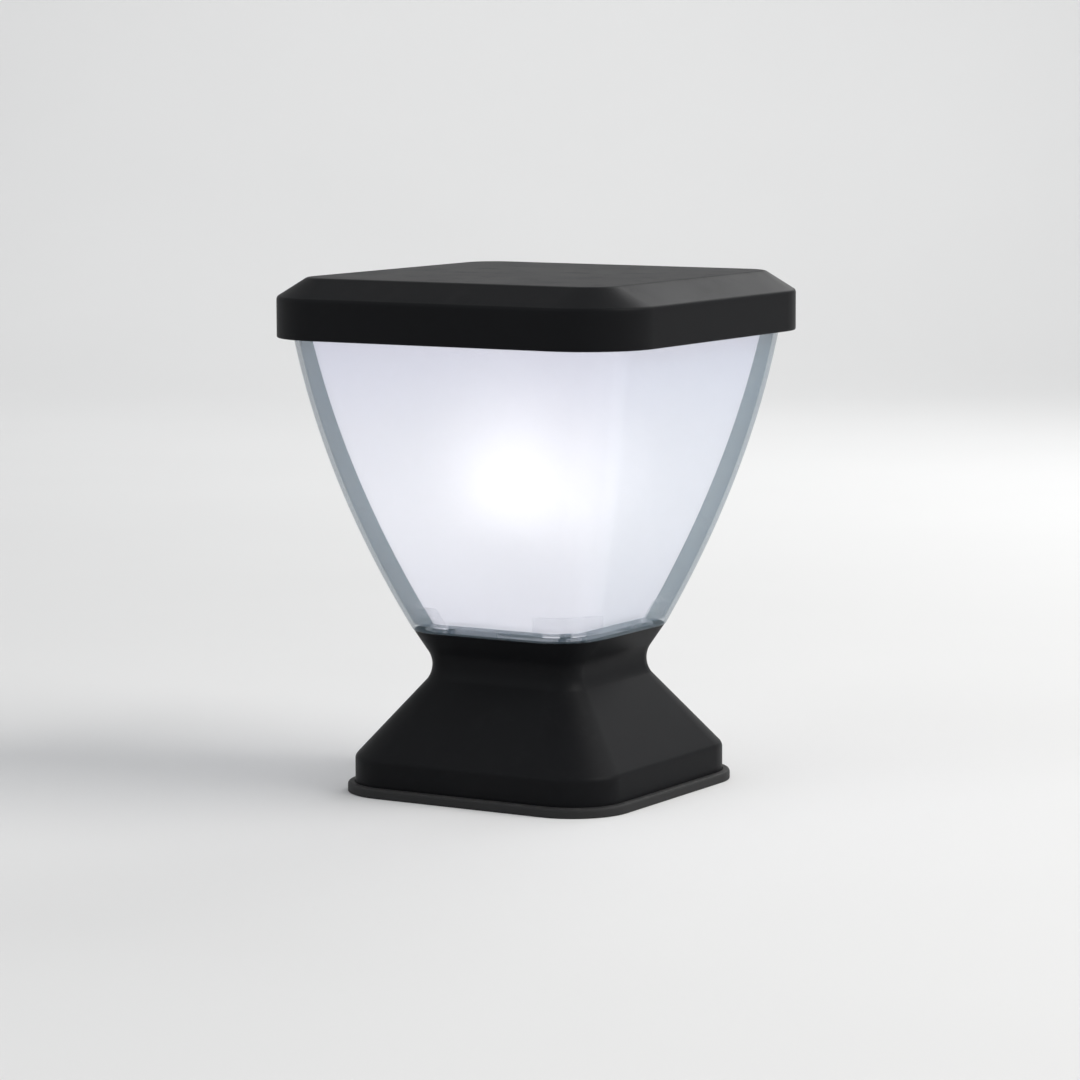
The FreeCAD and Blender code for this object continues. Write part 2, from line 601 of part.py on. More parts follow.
def make_cap_springs():
    """Four bent leaves: a foot under the liner and a bowed leg inside the shade's mouth."""
    body = new_body("Springs")
    start = f"{SPRING_BEND} - spring_foot_length"
    inner = f"{SPRING_BEND} - spring_thickness"
    profile = outline(body, "Leaf", [
        (start, LINER_UNDER), (SPRING_BEND, LINER_UNDER), (SPRING_REACH, SPRING_TOUCH),
        (SPRING_BEND, f"{RIM} - spring_tail_drop"), (inner, f"{RIM} - spring_tail_drop"),
        (f"{SPRING_REACH} - spring_thickness", SPRING_TOUCH),
        (inner, f"{LINER_UNDER} - spring_thickness"), (start, f"{LINER_UNDER} - spring_thickness"),
    ], role="XZ_Plane")
    leaf = pad(body, profile, "spring_width", both_ways=True)
    hole = circles(body, "Hole", SMALL_HOLE, [(SPRING_SCREW, "0")], offset=LINER_UNDER)
    drilled = pocket(body, hole, "spring_thickness", "Drilled", upwards=False)
    around(body, [leaf, drilled], 4)
    return piece(body, "cap_springs")


def make_cap_screws():
    grip = f"({CAP_UNDER} - {LINER_TOP} + liner_thickness - screw_stop)"
    screws("liner_screws", SCREW_HEAD, "screw_radius", f"(screw_head_height + {grip})",
           LINER_SCREW, LINER_SCREW, f"{LINER_UNDER} - screw_head_height", 4,
           head_up=False)
    small_grip = "spring_thickness + liner_thickness + spring_boss_height - screw_stop"
    screws("spring_screws", SMALL_HEAD, "small_screw_radius", f"(small_head_height + {small_grip})",
           SPRING_SCREW, "0", f"{LINER_UNDER} - spring_thickness - small_head_height", 4,
           head_up=False)


# ---------------------------------------------------------------- shade and diffuser
def barrel(body, name, half_at, inset, corner, bottom, top, cut=False):
    """A bowed square shell's outside, or its hollow, lofted through equal steps of height."""
    sections = []
    for step in range(BARREL_STEPS + 1):
        level = f"({bottom} + ({top} - {bottom}) * {step} / {BARREL_STEPS})"
        half = f"{half_at(level)} - {inset}"
        sections.append(rounded_square(body, f"{name}{step}", half, f"{corner} - {inset}", level))
    return loft(body, sections, name, ruled=False, cut=cut)


def make_outer_shade():
    body = new_body("Shade")
    barrel(body, "Outside", shade_half, "0", "shade_corner", COLLAR, RIM)
    barrel(body, "Hollow", shade_half, "shade_wall", "shade_corner", FLOOR_TOP, RIM, cut=True)
    middle = circles(body, "Middle", HOLDER_OPENING, [("0", "0")], offset=COLLAR)
    pocket(body, middle, "shade_floor", "Opening")
    block = corner_arc(body, "Block", "diffuser_corner + slip_fit", BLOCK_OUTER,
                       DIFFUSER_CENTRE, FLOOR_TOP)
    around(body, [pad(body, block, "block_height", "CornerBlock")], 4, "Blocks")
    barrel(body, "Seat", diffuser_half, "(-slip_fit)", "diffuser_corner", FLOOR_TOP,
           f"{FLOOR_TOP} + block_height", cut=True)
    posts = circles(body, "Posts", "shade_post_radius", four(POST_PLACE), offset=FLOOR_TOP)
    pad(body, posts, "shade_post_height", "Post")
    holes = circles(body, "Holes", SCREW_HOLE, four(POST_PLACE), offset=COLLAR)
    pocket(body, holes, "shade_floor + shade_post_height - blind_end", "Pilot")
    slot = corner_arc(body, "Slot", "diffuser_corner - diffuser_wall - slip_fit",
                      "diffuser_corner + slip_fit", DIFFUSER_CENTRE, FLOOR_TOP)
    cut = pocket(body, slot, "diffuser_foot_depth + slip_fit", "FootSlot", upwards=False)
    around(body, [cut], 4, "Slots")
    return piece(body, "outer_shade")


def make_diffuser():
    body = new_body("Diffuser")
    barrel(body, "Outside", diffuser_half, "0", "diffuser_corner", FLOOR_TOP, DIFFUSER_RIM)
    barrel(body, "Hollow", diffuser_half, "diffuser_wall", "diffuser_corner", DIFFUSER_FLOOR,
           DIFFUSER_RIM, cut=True)
    middle = circles(body, "Middle", HOLDER_OPENING, [("0", "0")], offset=FLOOR_TOP)
    pocket(body, middle, "diffuser_wall", "Opening")
    holes = circles(body, "Holes", "shade_post_radius + slip_fit", four(POST_PLACE),
                    offset=FLOOR_TOP)
    pocket(body, holes, "diffuser_wall", "PostHoles")
    foot = corner_arc(body, "Foot", "diffuser_corner - diffuser_wall", "diffuser_corner",
                      DIFFUSER_CENTRE, f"{FLOOR_TOP} - diffuser_foot_depth")
    solid_foot = pad(body, foot, "diffuser_foot_depth", "FootPad")
    place = f"{DIFFUSER_CENTRE} + (diffuser_corner - diffuser_wall / 2) * {DIAGONAL}"
    notch = circles(body, "Notch", "diffuser_notch / 2", [(place, place)],
                    offset=f"{FLOOR_TOP} - diffuser_foot_depth")
    around(body, [solid_foot], 4, "Feet")
    cut = pocket(body, notch, "diffuser_foot_depth", "FootNotch")
    around(body, [cut], 4, "Notches")
    return piece(body, "diffuser")


def make_diffuser_clips():
    body = new_body("Washers")
    rings = circles(body, "Rings", "shade_post_radius + washer_width", four(POST_PLACE),
                    offset=DIFFUSER_FLOOR)
    pad(body, rings, "washer_thickness")
    holes = circles(body, "Holes", "shade_post_radius + screw_fit", four(POST_PLACE),
                    offset=DIFFUSER_FLOOR)
    pocket(body, holes, "washer_thickness")
    return piece(body, "diffuser_clips")


def make_shade_screws():
    grip = f"({COLLAR} - {DECK_UNDER} + shade_floor + shade_post_height - screw_stop)"
    screws("shade_screws", SCREW_HEAD, "screw_radius", f"(screw_head_height + {grip})",
           POST_PLACE, POST_PLACE, f"{DECK_UNDER} - screw_head_height", 4,
           head_up=False)


# ---------------------------------------------------------------- base
def waist_square(body, name, share, inset="0"):
    level, half, corner = waist(share)
    return rounded_square(body, name, f"{half} - {inset}", f"{corner} - {inset}", level)


def make_base_shell():
    body = new_body("Base")
    plinth = ("plinth_width / 2", "plinth_corner")
    loft(body, [
        rounded_square(body, "PlinthLow", *plinth, GASKET_SEAT),
        rounded_square(body, "PlinthHigh", *plinth, "plinth_level"),
        waist_square(body, "PyramidTop", -1),
    ], "Pyramid")
    loft(body, [waist_square(body, f"Waist{i}", share) for i, share in enumerate(WAIST_SHARES)],
         "Waist", ruled=False)
    loft(body, [
        waist_square(body, "FlareLow", 1),
        rounded_square(body, "Collar", f"{COLLAR_WIDTH} / 2", "collar_corner", COLLAR),
    ], "Flare")
    neck_inside = ("neck_width / 2 - base_wall", "neck_corner - base_wall")
    loft(body, [
        rounded_square(body, "InPlinth", PLINTH_INSIDE, "plinth_corner - base_wall", GASKET_SEAT),
        rounded_square(body, "InStep", PLINTH_INSIDE, "plinth_corner - base_wall", "plinth_level"),
        waist_square(body, "InWaist", -1, "base_wall"),
        rounded_square(body, "InDeck", *neck_inside, DECK_UNDER),
    ], "Cavity", cut=True)
    ledge = f"{COLLAR_WIDTH} / 2 - base_wall - shade_gasket_width"
    loft(body, [
        rounded_square(body, "DishFloor", *neck_inside, "neck_level"),
        waist_square(body, "DishLow", 0.5, "base_wall"),
        waist_square(body, "DishMiddle", 1, "base_wall"),
        rounded_square(body, "DishTop", ledge, "collar_corner - base_wall - shade_gasket_width",
                       f"{COLLAR} - shade_gasket_depth"),
    ], "Dish", cut=True)
    groove = rounded_square(body, "Groove", f"{COLLAR_WIDTH} / 2 - base_wall",
                            "collar_corner - base_wall", COLLAR)
    pocket(body, groove, "shade_gasket_depth", "GasketSeat", upwards=False)
    posts = circles(body, "Posts", "shade_post_radius", four(POST_PLACE), offset="neck_level")
    pad(body, posts, "collar_rise", "Post")
    holes = circles(body, "PostHoles", SCREW_HOLE, four(POST_PLACE), offset=DECK_UNDER)
    pocket(body, holes, f"{COLLAR} - {DECK_UNDER}", "PostHole")
    wires = circles(body, "Wires", "wire_hole_radius", [("0", "0")], offset=DECK_UNDER)
    pocket(body, wires, "deck_thickness", "WireHole")
    ears = [(EAR_REACH, "0"), (f"-{EAR_REACH}", "0")]
    bosses = circles(body, "Bosses", "holder_boss_radius", ears,
                     offset=f"{DECK_UNDER} - holder_boss_height")
    pad(body, bosses, "holder_boss_height", "Boss")
    pilots = circles(body, "Pilots", SCREW_HOLE, ears, offset="neck_level")
    pocket(body, pilots, "deck_thickness + holder_boss_height - blind_end", "Pilot", upwards=False)
    end = f"({TAB_PLACE} + tab_width / 2 + slip_fit)"
    rib = outline(body, "Rib", [
        (f"-{end}", f"-({PLINTH_INSIDE} + base_wall / 2)"), (end, f"-({PLINTH_INSIDE} + base_wall / 2)"),
        (end, f"-({TAB_FACE} + screw_fit)"), (f"-{end}", f"-({TAB_FACE} + screw_fit)"),
    ], offset=f"{HOOK_LEVEL} - hook_rib_height")
    pad(body, rib, "hook_rib_height", "HookRib")
    lugs = circles(body, "Lugs", "screw_head_radius", LOCKS, role="XZ_Plane",
                   offset=f"-({PLINTH_INSIDE} + base_wall / 2)")
    pad(body, lugs, f"{PLINTH_INSIDE} + base_wall / 2 - {TAB_FACE}", "LockLug")
    lock_holes = circles(body, "LockHoles", SCREW_HOLE, LOCKS, role="XZ_Plane",
                         offset="-plinth_width / 2")
    pocket(body, lock_holes, f"plinth_width / 2 - {TAB_FACE}", "LockHole")
    return piece(body, "base_shell")


def make_foot_gasket():
    """A rubber channel under the plinth: a rounded bead outside and a lip inside."""
    body = new_body("Foot")
    half = "plinth_width / 2 + foot_bead"
    outside = rounded_square(body, "Outer", half, "plinth_corner + foot_bead", "0")
    pad(body, outside, "foot_height")
    inside = f"{PLINTH_INSIDE} - seal_fit - foot_lip"
    hollow = rounded_square(body, "Hollow", inside, "plinth_corner - base_wall - seal_fit - foot_lip", "0")
    pocket(body, hollow, "foot_height", "Middle")
    outer = ("plinth_width / 2 + seal_fit", "plinth_corner + seal_fit")
    inner = (f"{PLINTH_INSIDE} - seal_fit", "plinth_corner - base_wall - seal_fit")
    groove = rounded_ring(body, "Groove", outer, inner, GASKET_SEAT)
    pocket(body, groove, f"foot_height - {GASKET_SEAT}", "Channel")
    round_edges(body, "foot_height", half, "foot_round")
    return piece(body, "foot_gasket")


def make_shade_gasket():
    body = new_body("ShadeGasket")
    outer = (f"{COLLAR_WIDTH} / 2 - base_wall - seal_fit", "collar_corner - base_wall - seal_fit")
    inner = (f"{COLLAR_WIDTH} / 2 - base_wall - shade_gasket_width",
             "collar_corner - base_wall - shade_gasket_width")
    ring = rounded_ring(body, "Ring", outer, inner, f"{COLLAR} - shade_gasket_depth")
    pad(body, ring, "shade_gasket_depth")
    return piece(body, "shade_gasket")


# ---------------------------------------------------------------- mounting plate and wiring
def make_mounting_plate():
    """Pressed steel plate with pads at its fixing holes, two hooks and two screw tabs."""
    body = new_body("Plate")
    sheet = rounded_square(body, "Sheet", PLATE_HALF, "plate_corner", "plate_pad_height")
    pad(body, sheet, "plate_thickness", "Sheet")
    fixings = four(FIXING_PLACE)
    pads = circles(body, "Pads", "plate_pad_radius", fixings)
    pad(body, pads, "plate_pad_height", "PressedPad")
    holes = circles(body, "Holes", "fixing_hole_radius", fixings)
    pocket(body, holes, PLATE_TOP, "FixingHole")
    middle = circles(body, "Middle", "grommet_neck_radius + seal_fit", [("0", "0")],
                     offset="plate_pad_height")
    pocket(body, middle, "plate_thickness", "CableHole")
    tapped = circles(body, "Tapped", SMALL_HOLE, [("0", "block_place")], offset="plate_pad_height")
    pocket(body, tapped, "plate_thickness", "BlockHole")
    for side in ("", "-"):
        centre = f"{side}{TAB_PLACE}"
        left, right = f"{centre} - tab_width / 2", f"{centre} + tab_width / 2"
        back, inner = TAB_FACE, f"{TAB_FACE} - plate_thickness"
        tab = outline(body, "BackTab", [(left, inner), (right, inner), (right, back), (left, back)],
                      offset="plate_pad_height")
        pad(body, tab, f"{TAB_TOP} - plate_pad_height", "BackTab")
        front = outline(body, "FrontTab", [(left, f"-({back})"), (right, f"-({back})"),
                                           (right, f"-({inner})"), (left, f"-({inner})")],
                        offset="plate_pad_height")
        pad(body, front, f"{TAB_TOP} - plate_pad_height", "FrontTab")
        hook = outline(body, "Hook", [(left, f"-({PLINTH_INSIDE} - slip_fit)"),
                                      (right, f"-({PLINTH_INSIDE} - slip_fit)"),
                                      (right, f"-({inner})"), (left, f"-({inner})")],
                       offset=HOOK_LEVEL)
        pad(body, hook, "plate_thickness", "Hook")
    lock_holes = circles(body, "LockHoles", SCREW_HOLE, LOCKS, role="XZ_Plane", offset=f"-{TAB_FACE}")
    pocket(body, lock_holes, "plate_thickness", "LockHole")
    return piece(body, "mounting_plate")


def make_lock_screws():
    """Two screws through the plinth's back wall, laid along Y by the body's placement."""
    grip = f"(plinth_width / 2 - {TAB_FACE} + plate_thickness + screw_stop)"
    body = screws("lock_screws", SCREW_HEAD, "screw_radius", f"(screw_head_height + {grip})",
                  TAB_PLACE, "0", "0", 2)
    body.Placement = Placement(Vector(), Rotation(Vector(1, 0, 0), -90))
    body.setExpression("Placement.Base.y", link("plinth_width / 2 + screw_head_height"))
    body.setExpression("Placement.Base.z", link("lock_screw_level"))


def make_cable_grommet():
    body = new_body("Grommet")
    low, high = "plate_pad_height - grommet_flange", f"{PLATE_TOP} + grommet_flange"
    revolve(body, outline(body, "Profile", [
        ("grommet_bore_radius", low), ("grommet_flange_radius", low),
        ("grommet_flange_radius", "plate_pad_height"), ("grommet_neck_radius", "plate_pad_height"),
        ("grommet_neck_radius", PLATE_TOP), ("grommet_flange_radius", PLATE_TOP),
        ("grommet_flange_radius", high), ("grommet_bore_radius", high),
    ], role="XZ_Plane"))
    return piece(body, "cable_grommet")


def make_terminal_block():
    body = new_body("Block")
    near, far = "block_place - block_length / 2", "block_place + block_length / 2"
    half = "block_width / 2"
    pad(body, outline(body, "Plan", [(f"-{half}", near), (half, near), (half, far), (f"-{half}", far)],
                      offset=PLATE_TOP), "block_tall")
    bores = circles(body, "Bores", "insert_radius + screw_fit", POLES, role="XZ_Plane",
                    offset=f"-({far})")
    pocket(body, bores, "block_length", "WireWay")
    clamps = circles(body, "Clamps", "clamp_screw_radius + screw_fit", CLAMPS, offset=BLOCK_TOP)
    pocket(body, clamps, "block_tall - pole_height", "ScrewWay", upwards=False)
    centre = circles(body, "Centre", SMALL_HOLE, [("0", "block_place")], offset=BLOCK_TOP)
    pocket(body, centre, "block_tall", "FixingWay", upwards=False)
    return piece(body, "terminal_block")


def make_terminal_contacts():
    body = new_body("Inserts")
    end = "block_place + insert_length / 2"
    tubes = circles(body, "Tubes", "insert_radius", POLES, role="XZ_Plane", offset=f"-({end})")
    pad(body, tubes, "insert_length", "Tube")
    bores = circles(body, "Bores", "insert_bore_radius", POLES, role="XZ_Plane", offset=f"-({end})")
    pocket(body, bores, "insert_length", "Bore")
    taps = circles(body, "Taps", "clamp_screw_radius + screw_fit", CLAMPS,
                   offset=f"{POLE_LEVEL} + insert_radius")
    pocket(body, taps, "insert_radius", "Tap", upwards=False)
    return piece(body, "terminal_contacts")


def make_terminal_screws():
    body = new_body("ClampScrews")
    tip = f"({POLE_LEVEL} + lead_radius + contact_gap)"
    shanks = circles(body, "Shanks", "clamp_screw_radius", CLAMPS, offset=tip)
    pad(body, shanks, f"{BLOCK_TOP} - screw_fit - {tip}", "Shank")
    x, y = CLAMPS[0]
    slot = outline(body, "Slot", [
        (f"{x} - clamp_screw_radius * 2", f"{y} - recess_width / 4"),
        (f"{x} + clamp_screw_radius * 2", f"{y} - recess_width / 4"),
        (f"{x} + clamp_screw_radius * 2", f"{y} + recess_width / 4"),
        (f"{x} - clamp_screw_radius * 2", f"{y} + recess_width / 4"),
    ], offset=f"{BLOCK_TOP} - screw_fit")
    cut = pocket(body, slot, "recess_depth / 2", "Slot", upwards=False)
    across = body.newObject("PartDesign::LinearPattern", "Across")
    across.Direction = (origin_feature(body, "X_Axis"), [""])
    across.setExpression("Length", link("pole_spacing"))
    across.Occurrences = 2
    along = body.newObject("PartDesign::LinearPattern", "Along")
    along.Direction = (origin_feature(body, "Y_Axis"), [""])
    along.setExpression("Length", link("clamp_spacing"))
    along.Occurrences = 2
    grid = body.newObject("PartDesign::MultiTransform", "Grid")
    grid.Originals = [cut]
    grid.Transformations = [across, along]
    body.Tip = grid
    doc.recompute()
    return piece(body, "terminal_screws")


def make_block_screw():
    screws("terminal_block_screw", SMALL_HEAD, "small_screw_radius",
           "(small_head_height + block_tall + plate_thickness)", "0", "block_place",
           f"{BLOCK_TOP} + small_head_height", 1)


def make_lead(label, pin_x, pole_x):
    """A round lead from a contact pin down to a pole: straight runs joined by arcs."""
    radius = number("lead_radius")
    slack_y, wire_end = number("lead_slack_reach"), number("block_place + lead_end")
    pole_level = number(POLE_LEVEL)
    top, drop, low = number(PIN_END), number("neck_level - lead_drop"), number("lead_slack_level")
    corners = [Vector(pin_x, 0, top), Vector(pin_x, 0, drop), Vector(pole_x, slack_y, low),
               Vector(pole_x, slack_y, pole_level), Vector(pole_x, wire_end, pole_level)]
    edges, start = [], corners[0]
    for before, corner, after in zip(corners, corners[1:], corners[2:]):
        back, ahead = (before - corner), (after - corner)
        cut = LEAD_BEND_SHARE * min(back.Length, ahead.Length)
        half_open = back.getAngle(ahead) / 2
        bend = cut * math.tan(half_open)
        enter = corner + back.normalize() * cut
        leave = corner + ahead.normalize() * cut
        inward = ((enter + leave) * 0.5 - corner).normalize()
        middle = corner + inward * (cut / math.cos(half_open) - bend)
        edges.append(Part.LineSegment(start, enter).toShape())
        edges.append(Part.Arc(enter, middle, leave).toShape())
        print(label, "bend radius", round(bend, 1))
        start = leave
    edges.append(Part.LineSegment(start, corners[-1]).toShape())
    path = Part.Wire(edges)
    profile = Part.Wire([Part.makeCircle(radius, corners[0], corners[0] - corners[1])])
    lead = doc.addObject("Part::Feature", label)
    lead.Shape = path.makePipeShell([profile], True, False)
    print(label, "length", round(path.Length, 1), "volume ratio",
          round(lead.Shape.Volume / (path.Length * math.pi * radius ** 2), 4))
    return piece(lead, label)


def make_leads():
    make_lead("live_lead", 0.0, number("-pole_spacing / 2"))
    make_lead("neutral_lead", number("neutral_pin_offset"), number("pole_spacing / 2"))


# ---------------------------------------------------------------- lampholder
def add_ridge(body, profile):
    """Winds a thread ridge of the given profile about the upright axis."""
    ridge = body.newObject("PartDesign::AdditiveHelix", "Ridge")
    ridge.Profile = profile
    ridge.ReferenceAxis = (profile, ["V_Axis"])
    ridge.Mode = "pitch-height-angle"
    ridge.setExpression("Pitch", link("thread_pitch"))
    ridge.setExpression("Height", link("thread_pitch * thread_turns"))
    doc.recompute()
    return ridge


def ridge_profile(body, foot_at, crest_at, level):
    return outline(body, "RidgeProfile", [
        (foot_at, f"{level} - ridge_foot / 2"), (crest_at, f"{level} - ridge_crest / 2"),
        (crest_at, f"{level} + ridge_crest / 2"), (foot_at, f"{level} + ridge_foot / 2"),
    ], role="XZ_Plane")


def make_lampholder_body():
    body = new_body("Holder")
    ceiling = "(neck_level + holder_cavity)"
    revolve(body, outline(body, "Profile", [
        (HOLDER_INSIDE, "neck_level"), ("holder_radius", "neck_level"),
        ("holder_radius", HOLDER_TOP), (HOLDER_BORE, HOLDER_TOP), (HOLDER_BORE, SHELL_SEAT),
        ("0", SHELL_SEAT), ("0", ceiling), (HOLDER_INSIDE, ceiling),
    ], role="XZ_Plane"))
    root = "(holder_radius - holder_wall / 2)"
    bar = pad(body, outline(body, "EarBar", [
        (root, "-ear_radius"), (EAR_REACH, "-ear_radius"), (EAR_REACH, "ear_radius"),
        (root, "ear_radius"),
    ], offset="neck_level"), "ear_thickness", "EarBar")
    tip = pad(body, circles(body, "EarTip", "ear_radius", [(EAR_REACH, "0")], offset="neck_level"),
              "ear_thickness", "EarTip")
    hole = pocket(body, circles(body, "EarHole", SCREW_HOLE, [(EAR_REACH, "0")],
                                offset="neck_level"), "ear_thickness", "EarHole")
    around(body, [bar, tip, hole], 2, "Ears")
    pins = [("0", "0"), ("neutral_pin_offset", "0")]
    ways = circles(body, "PinWays", "pin_radius + screw_fit", pins, offset=ceiling)
    pocket(body, ways, "holder_partition", "PinWay")
    return piece(body, "lampholder_body")


def make_lampholder_screw_shell():
    body = new_body("HolderShell")
    top = f"{HOLDER_TOP} - screw_stop"
    floor = f"{SHELL_SEAT} + shell_sheet"
    flange = "(neutral_pin_offset - pin_radius - shell_sheet)"
    revolve(body, outline(body, "Profile", [
        (flange, SHELL_SEAT), (HOLDER_SHELL_OUTSIDE, SHELL_SEAT), (HOLDER_SHELL_OUTSIDE, top),
        (HOLDER_SHELL_INSIDE, top), (HOLDER_SHELL_INSIDE, floor), (flange, floor),
    ], role="XZ_Plane"))
    pin = circles(body, "Pin", "pin_radius", [("neutral_pin_offset", "0")], offset=PIN_END)
    pad(body, pin, f"{floor} - {PIN_END}", "Pin")
    add_ridge(body, ridge_profile(body, f"{HOLDER_SHELL_INSIDE} + shell_sheet / 2",
                                  "thread_root_radius + slip_fit",
                                  f"{THREAD_START} - thread_pitch / 2"))
    return piece(body, "lampholder_screw_shell")


def make_lampholder_contact():
    body = new_body("HolderContact")
    crown = f"{SHELL_SEAT} + contact_height"
    revolve(body, outline(body, "Profile", [
        ("0", PIN_END), ("pin_radius", PIN_END), ("pin_radius", SHELL_SEAT),
        ("contact_radius", SHELL_SEAT), ("contact_radius", f"{SHELL_SEAT} + contact_height / 2"),
        ("contact_radius / 2", crown), ("0", crown),
    ], role="XZ_Plane"))
    return piece(body, "lampholder_contact")


def make_lampholder_screws():
    grip = "ear_thickness + deck_thickness + holder_boss_height - screw_stop"
    screws("lampholder_screws", SCREW_HEAD, "screw_radius", f"(screw_head_height + {grip})",
           EAR_REACH, "0", "neck_level + ear_thickness + screw_head_height", 2)


# ---------------------------------------------------------------- lamp
def make_lamp_contact():
    body = new_body("Button")
    top = f"{LAMP_TIP} + button_height"
    revolve(body, outline(body, "Profile", [
        ("0", LAMP_TIP), ("button_radius / 2", LAMP_TIP),
        ("button_radius", f"{LAMP_TIP} + button_height * 2 / 3"), ("button_radius", top), ("0", top),
    ], role="XZ_Plane"))
    return piece(body, "lamp_contact")


def make_lamp_insulator():
    body = new_body("Insulator")
    low = f"{LAMP_TIP} + button_height"
    high = f"{LAMP_SHELL} + button_height"
    revolve(body, outline(body, "Profile", [
        ("0", low), ("button_radius + button_height", low), (LAMP_PLUG, LAMP_SHELL),
        (LAMP_PLUG, high), ("0", high),
    ], role="XZ_Plane"))
    return piece(body, "lamp_insulator")


def make_lamp_screw_shell():
    body = new_body("LampShell")
    revolve(body, outline(body, "Profile", [
        (LAMP_SHELL_INSIDE, LAMP_SHELL), ("thread_root_radius", LAMP_SHELL),
        ("thread_root_radius", HOUSING), (LAMP_SHELL_INSIDE, HOUSING),
    ], role="XZ_Plane"))
    add_ridge(body, ridge_profile(body, "thread_root_radius - shell_sheet / 2",
                                  "thread_crest_radius", THREAD_START))
    return piece(body, "lamp_screw_shell")


def make_lamp_housing():
    """A flared plastic cup: plug in the screw shell, cone, and a seat for board and globe."""
    body = new_body("Housing")
    throat = "(thread_crest_radius + slip_fit)"
    flare = f"{HOUSING} + 4 * housing_wall"
    ledge = f"{HOUSING_BORE} - housing_wall"
    revolve(body, outline(body, "Profile", [
        (f"{LAMP_PLUG} - housing_wall", f"{HOUSING} - 3 * housing_wall"),
        (LAMP_PLUG, f"{HOUSING} - 3 * housing_wall"), (LAMP_PLUG, HOUSING), (throat, HOUSING),
        (f"{throat} + housing_wall", flare), ("housing_radius", f"{LED_BOARD} - slip_fit"),
        ("housing_radius", HOUSING_TOP), (HOUSING_BORE, HOUSING_TOP), (HOUSING_BORE, LED_BOARD),
        (ledge, LED_BOARD), (ledge, f"{LED_BOARD} - housing_wall"),
        (f"{throat} - slip_fit", flare), (f"{LAMP_PLUG} - housing_wall", HOUSING),
    ], role="XZ_Plane"))
    return piece(body, "lamp_housing")


def ball(name, radius):
    """A ball about the globe's centre, cut off flat at the housing's rim."""
    sphere = doc.addObject("Part::Sphere", name)
    sphere.setExpression("Radius", link(radius))
    sphere.setExpression("Angle1", link(f"-asin(globe_drop / ({radius}))"))
    sphere.setExpression("Placement.Base.z", link(GLOBE_CENTRE))
    return sphere


def drum(name, radius, low, high):
    cylinder = doc.addObject("Part::Cylinder", name)
    cylinder.setExpression("Radius", link(radius))
    cylinder.setExpression("Height", link(f"{high} - {low}"))
    cylinder.setExpression("Placement.Base.z", link(low))
    return cylinder


def joined(name, parts):
    union = doc.addObject("Part::MultiFuse", name)
    union.Shapes = parts
    return union


def make_lamp_globe():
    outer = joined("GlobeOutside", [
        ball("GlobeBall", "globe_radius"),
        drum("GlobeNeck", GLOBE_NECK_RADIUS, LED_BOARD_TOP, HOUSING_TOP),
    ])
    inner = joined("GlobeHollow", [
        ball("GlobeInnerBall", "globe_radius - globe_wall"),
        drum("GlobeInnerNeck", f"{GLOBE_NECK_RADIUS} - globe_wall", LED_BOARD_TOP, HOUSING_TOP),
    ])
    globe = doc.addObject("Part::Cut", "Globe")
    globe.Base = outer
    globe.Tool = inner
    doc.recompute()
    return piece(globe, "lamp_globe")


def make_lamp_led_board():
    board = drum("LedBoard", f"{HOUSING_BORE} - slip_fit", LED_BOARD, LED_BOARD_TOP)
    return piece(board, "lamp_led_board")


def make_lamp_leds():
    body = new_body("Leds")
    near, far = "led_circle_radius - led_width / 2", "led_circle_radius + led_width / 2"
    first = pad(body, outline(body, "Plan", [
        (near, "-led_length / 2"), (far, "-led_length / 2"), (far, "led_length / 2"),
        (near, "led_length / 2"),
    ], offset=LED_BOARD_TOP), "led_height")
    around(body, [first], LED_COUNT)
    return piece(body, "lamp_leds")


def make_lamp_driver_board():
    board = doc.addObject("Part::Box", "Driver")
    for name, text in (("Length", "driver_width"), ("Width", "driver_thickness"),
                       ("Height", "driver_height"), ("Placement.Base.x", "-driver_width / 2"),
                       ("Placement.Base.y", "-driver_thickness / 2"),
                       ("Placement.Base.z", f"{LED_BOARD} - driver_height")):
        board.setExpression(name, link(text))
    return piece(board, "lamp_driver_board")


# ---------------------------------------------------------------- the whole light
STEPS = [
    make_cap_shell, make_cap_liner, make_cap_gasket, make_cap_springs, make_cap_screws,
    make_outer_shade, make_diffuser, make_diffuser_clips, make_shade_screws,
    make_base_shell, make_foot_gasket, make_shade_gasket,
    make_mounting_plate, make_lock_screws, make_cable_grommet,
    make_terminal_block, make_terminal_contacts, make_terminal_screws, make_block_screw, make_leads,
    make_lampholder_body, make_lampholder_screw_shell, make_lampholder_contact,
    make_lampholder_screws,
    make_lamp_contact, make_lamp_insulator, make_lamp_screw_shell, make_lamp_housing,
    make_lamp_globe, make_lamp_led_board, make_lamp_leds, make_lamp_driver_board,
]
for step in STEPS:
    step()
doc.recompute()

for thing in doc.Objects:
    if "Invalid" in thing.State or "Error" in thing.State:
        raise RuntimeError(f"{thing.Name} failed: {thing.State}")
for thing in pieces:
    if thing.Shape.isNull() or not thing.Shape.isValid() or not thing.Shape.Solids:
        raise RuntimeError(f"{thing.Label} has no valid solid")
for thing in pieces:
    thing.Shape.exportStep(f"parts/{thing.Label}.step")
    print(thing.Label, len(thing.Shape.Solids), round(thing.Shape.Volume, 1))
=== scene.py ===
# %% [markdown]
# A pillar light, dressed for its picture.
#
# The light stands on a pillar or wall: a black moulded base, a clear bowed shade over an
# opal diffuser, and a black cap that lifts off. The frame brings in every piece at its real
# place and size. This lesson remakes the five shells that are seen, with soft edges, and
# gives all pieces a finish. Lengths are written in millimetres and turned into metres once.

# %% Load the frame
import json
import math
import bmesh
import bpy
from mathutils import Matrix, Vector


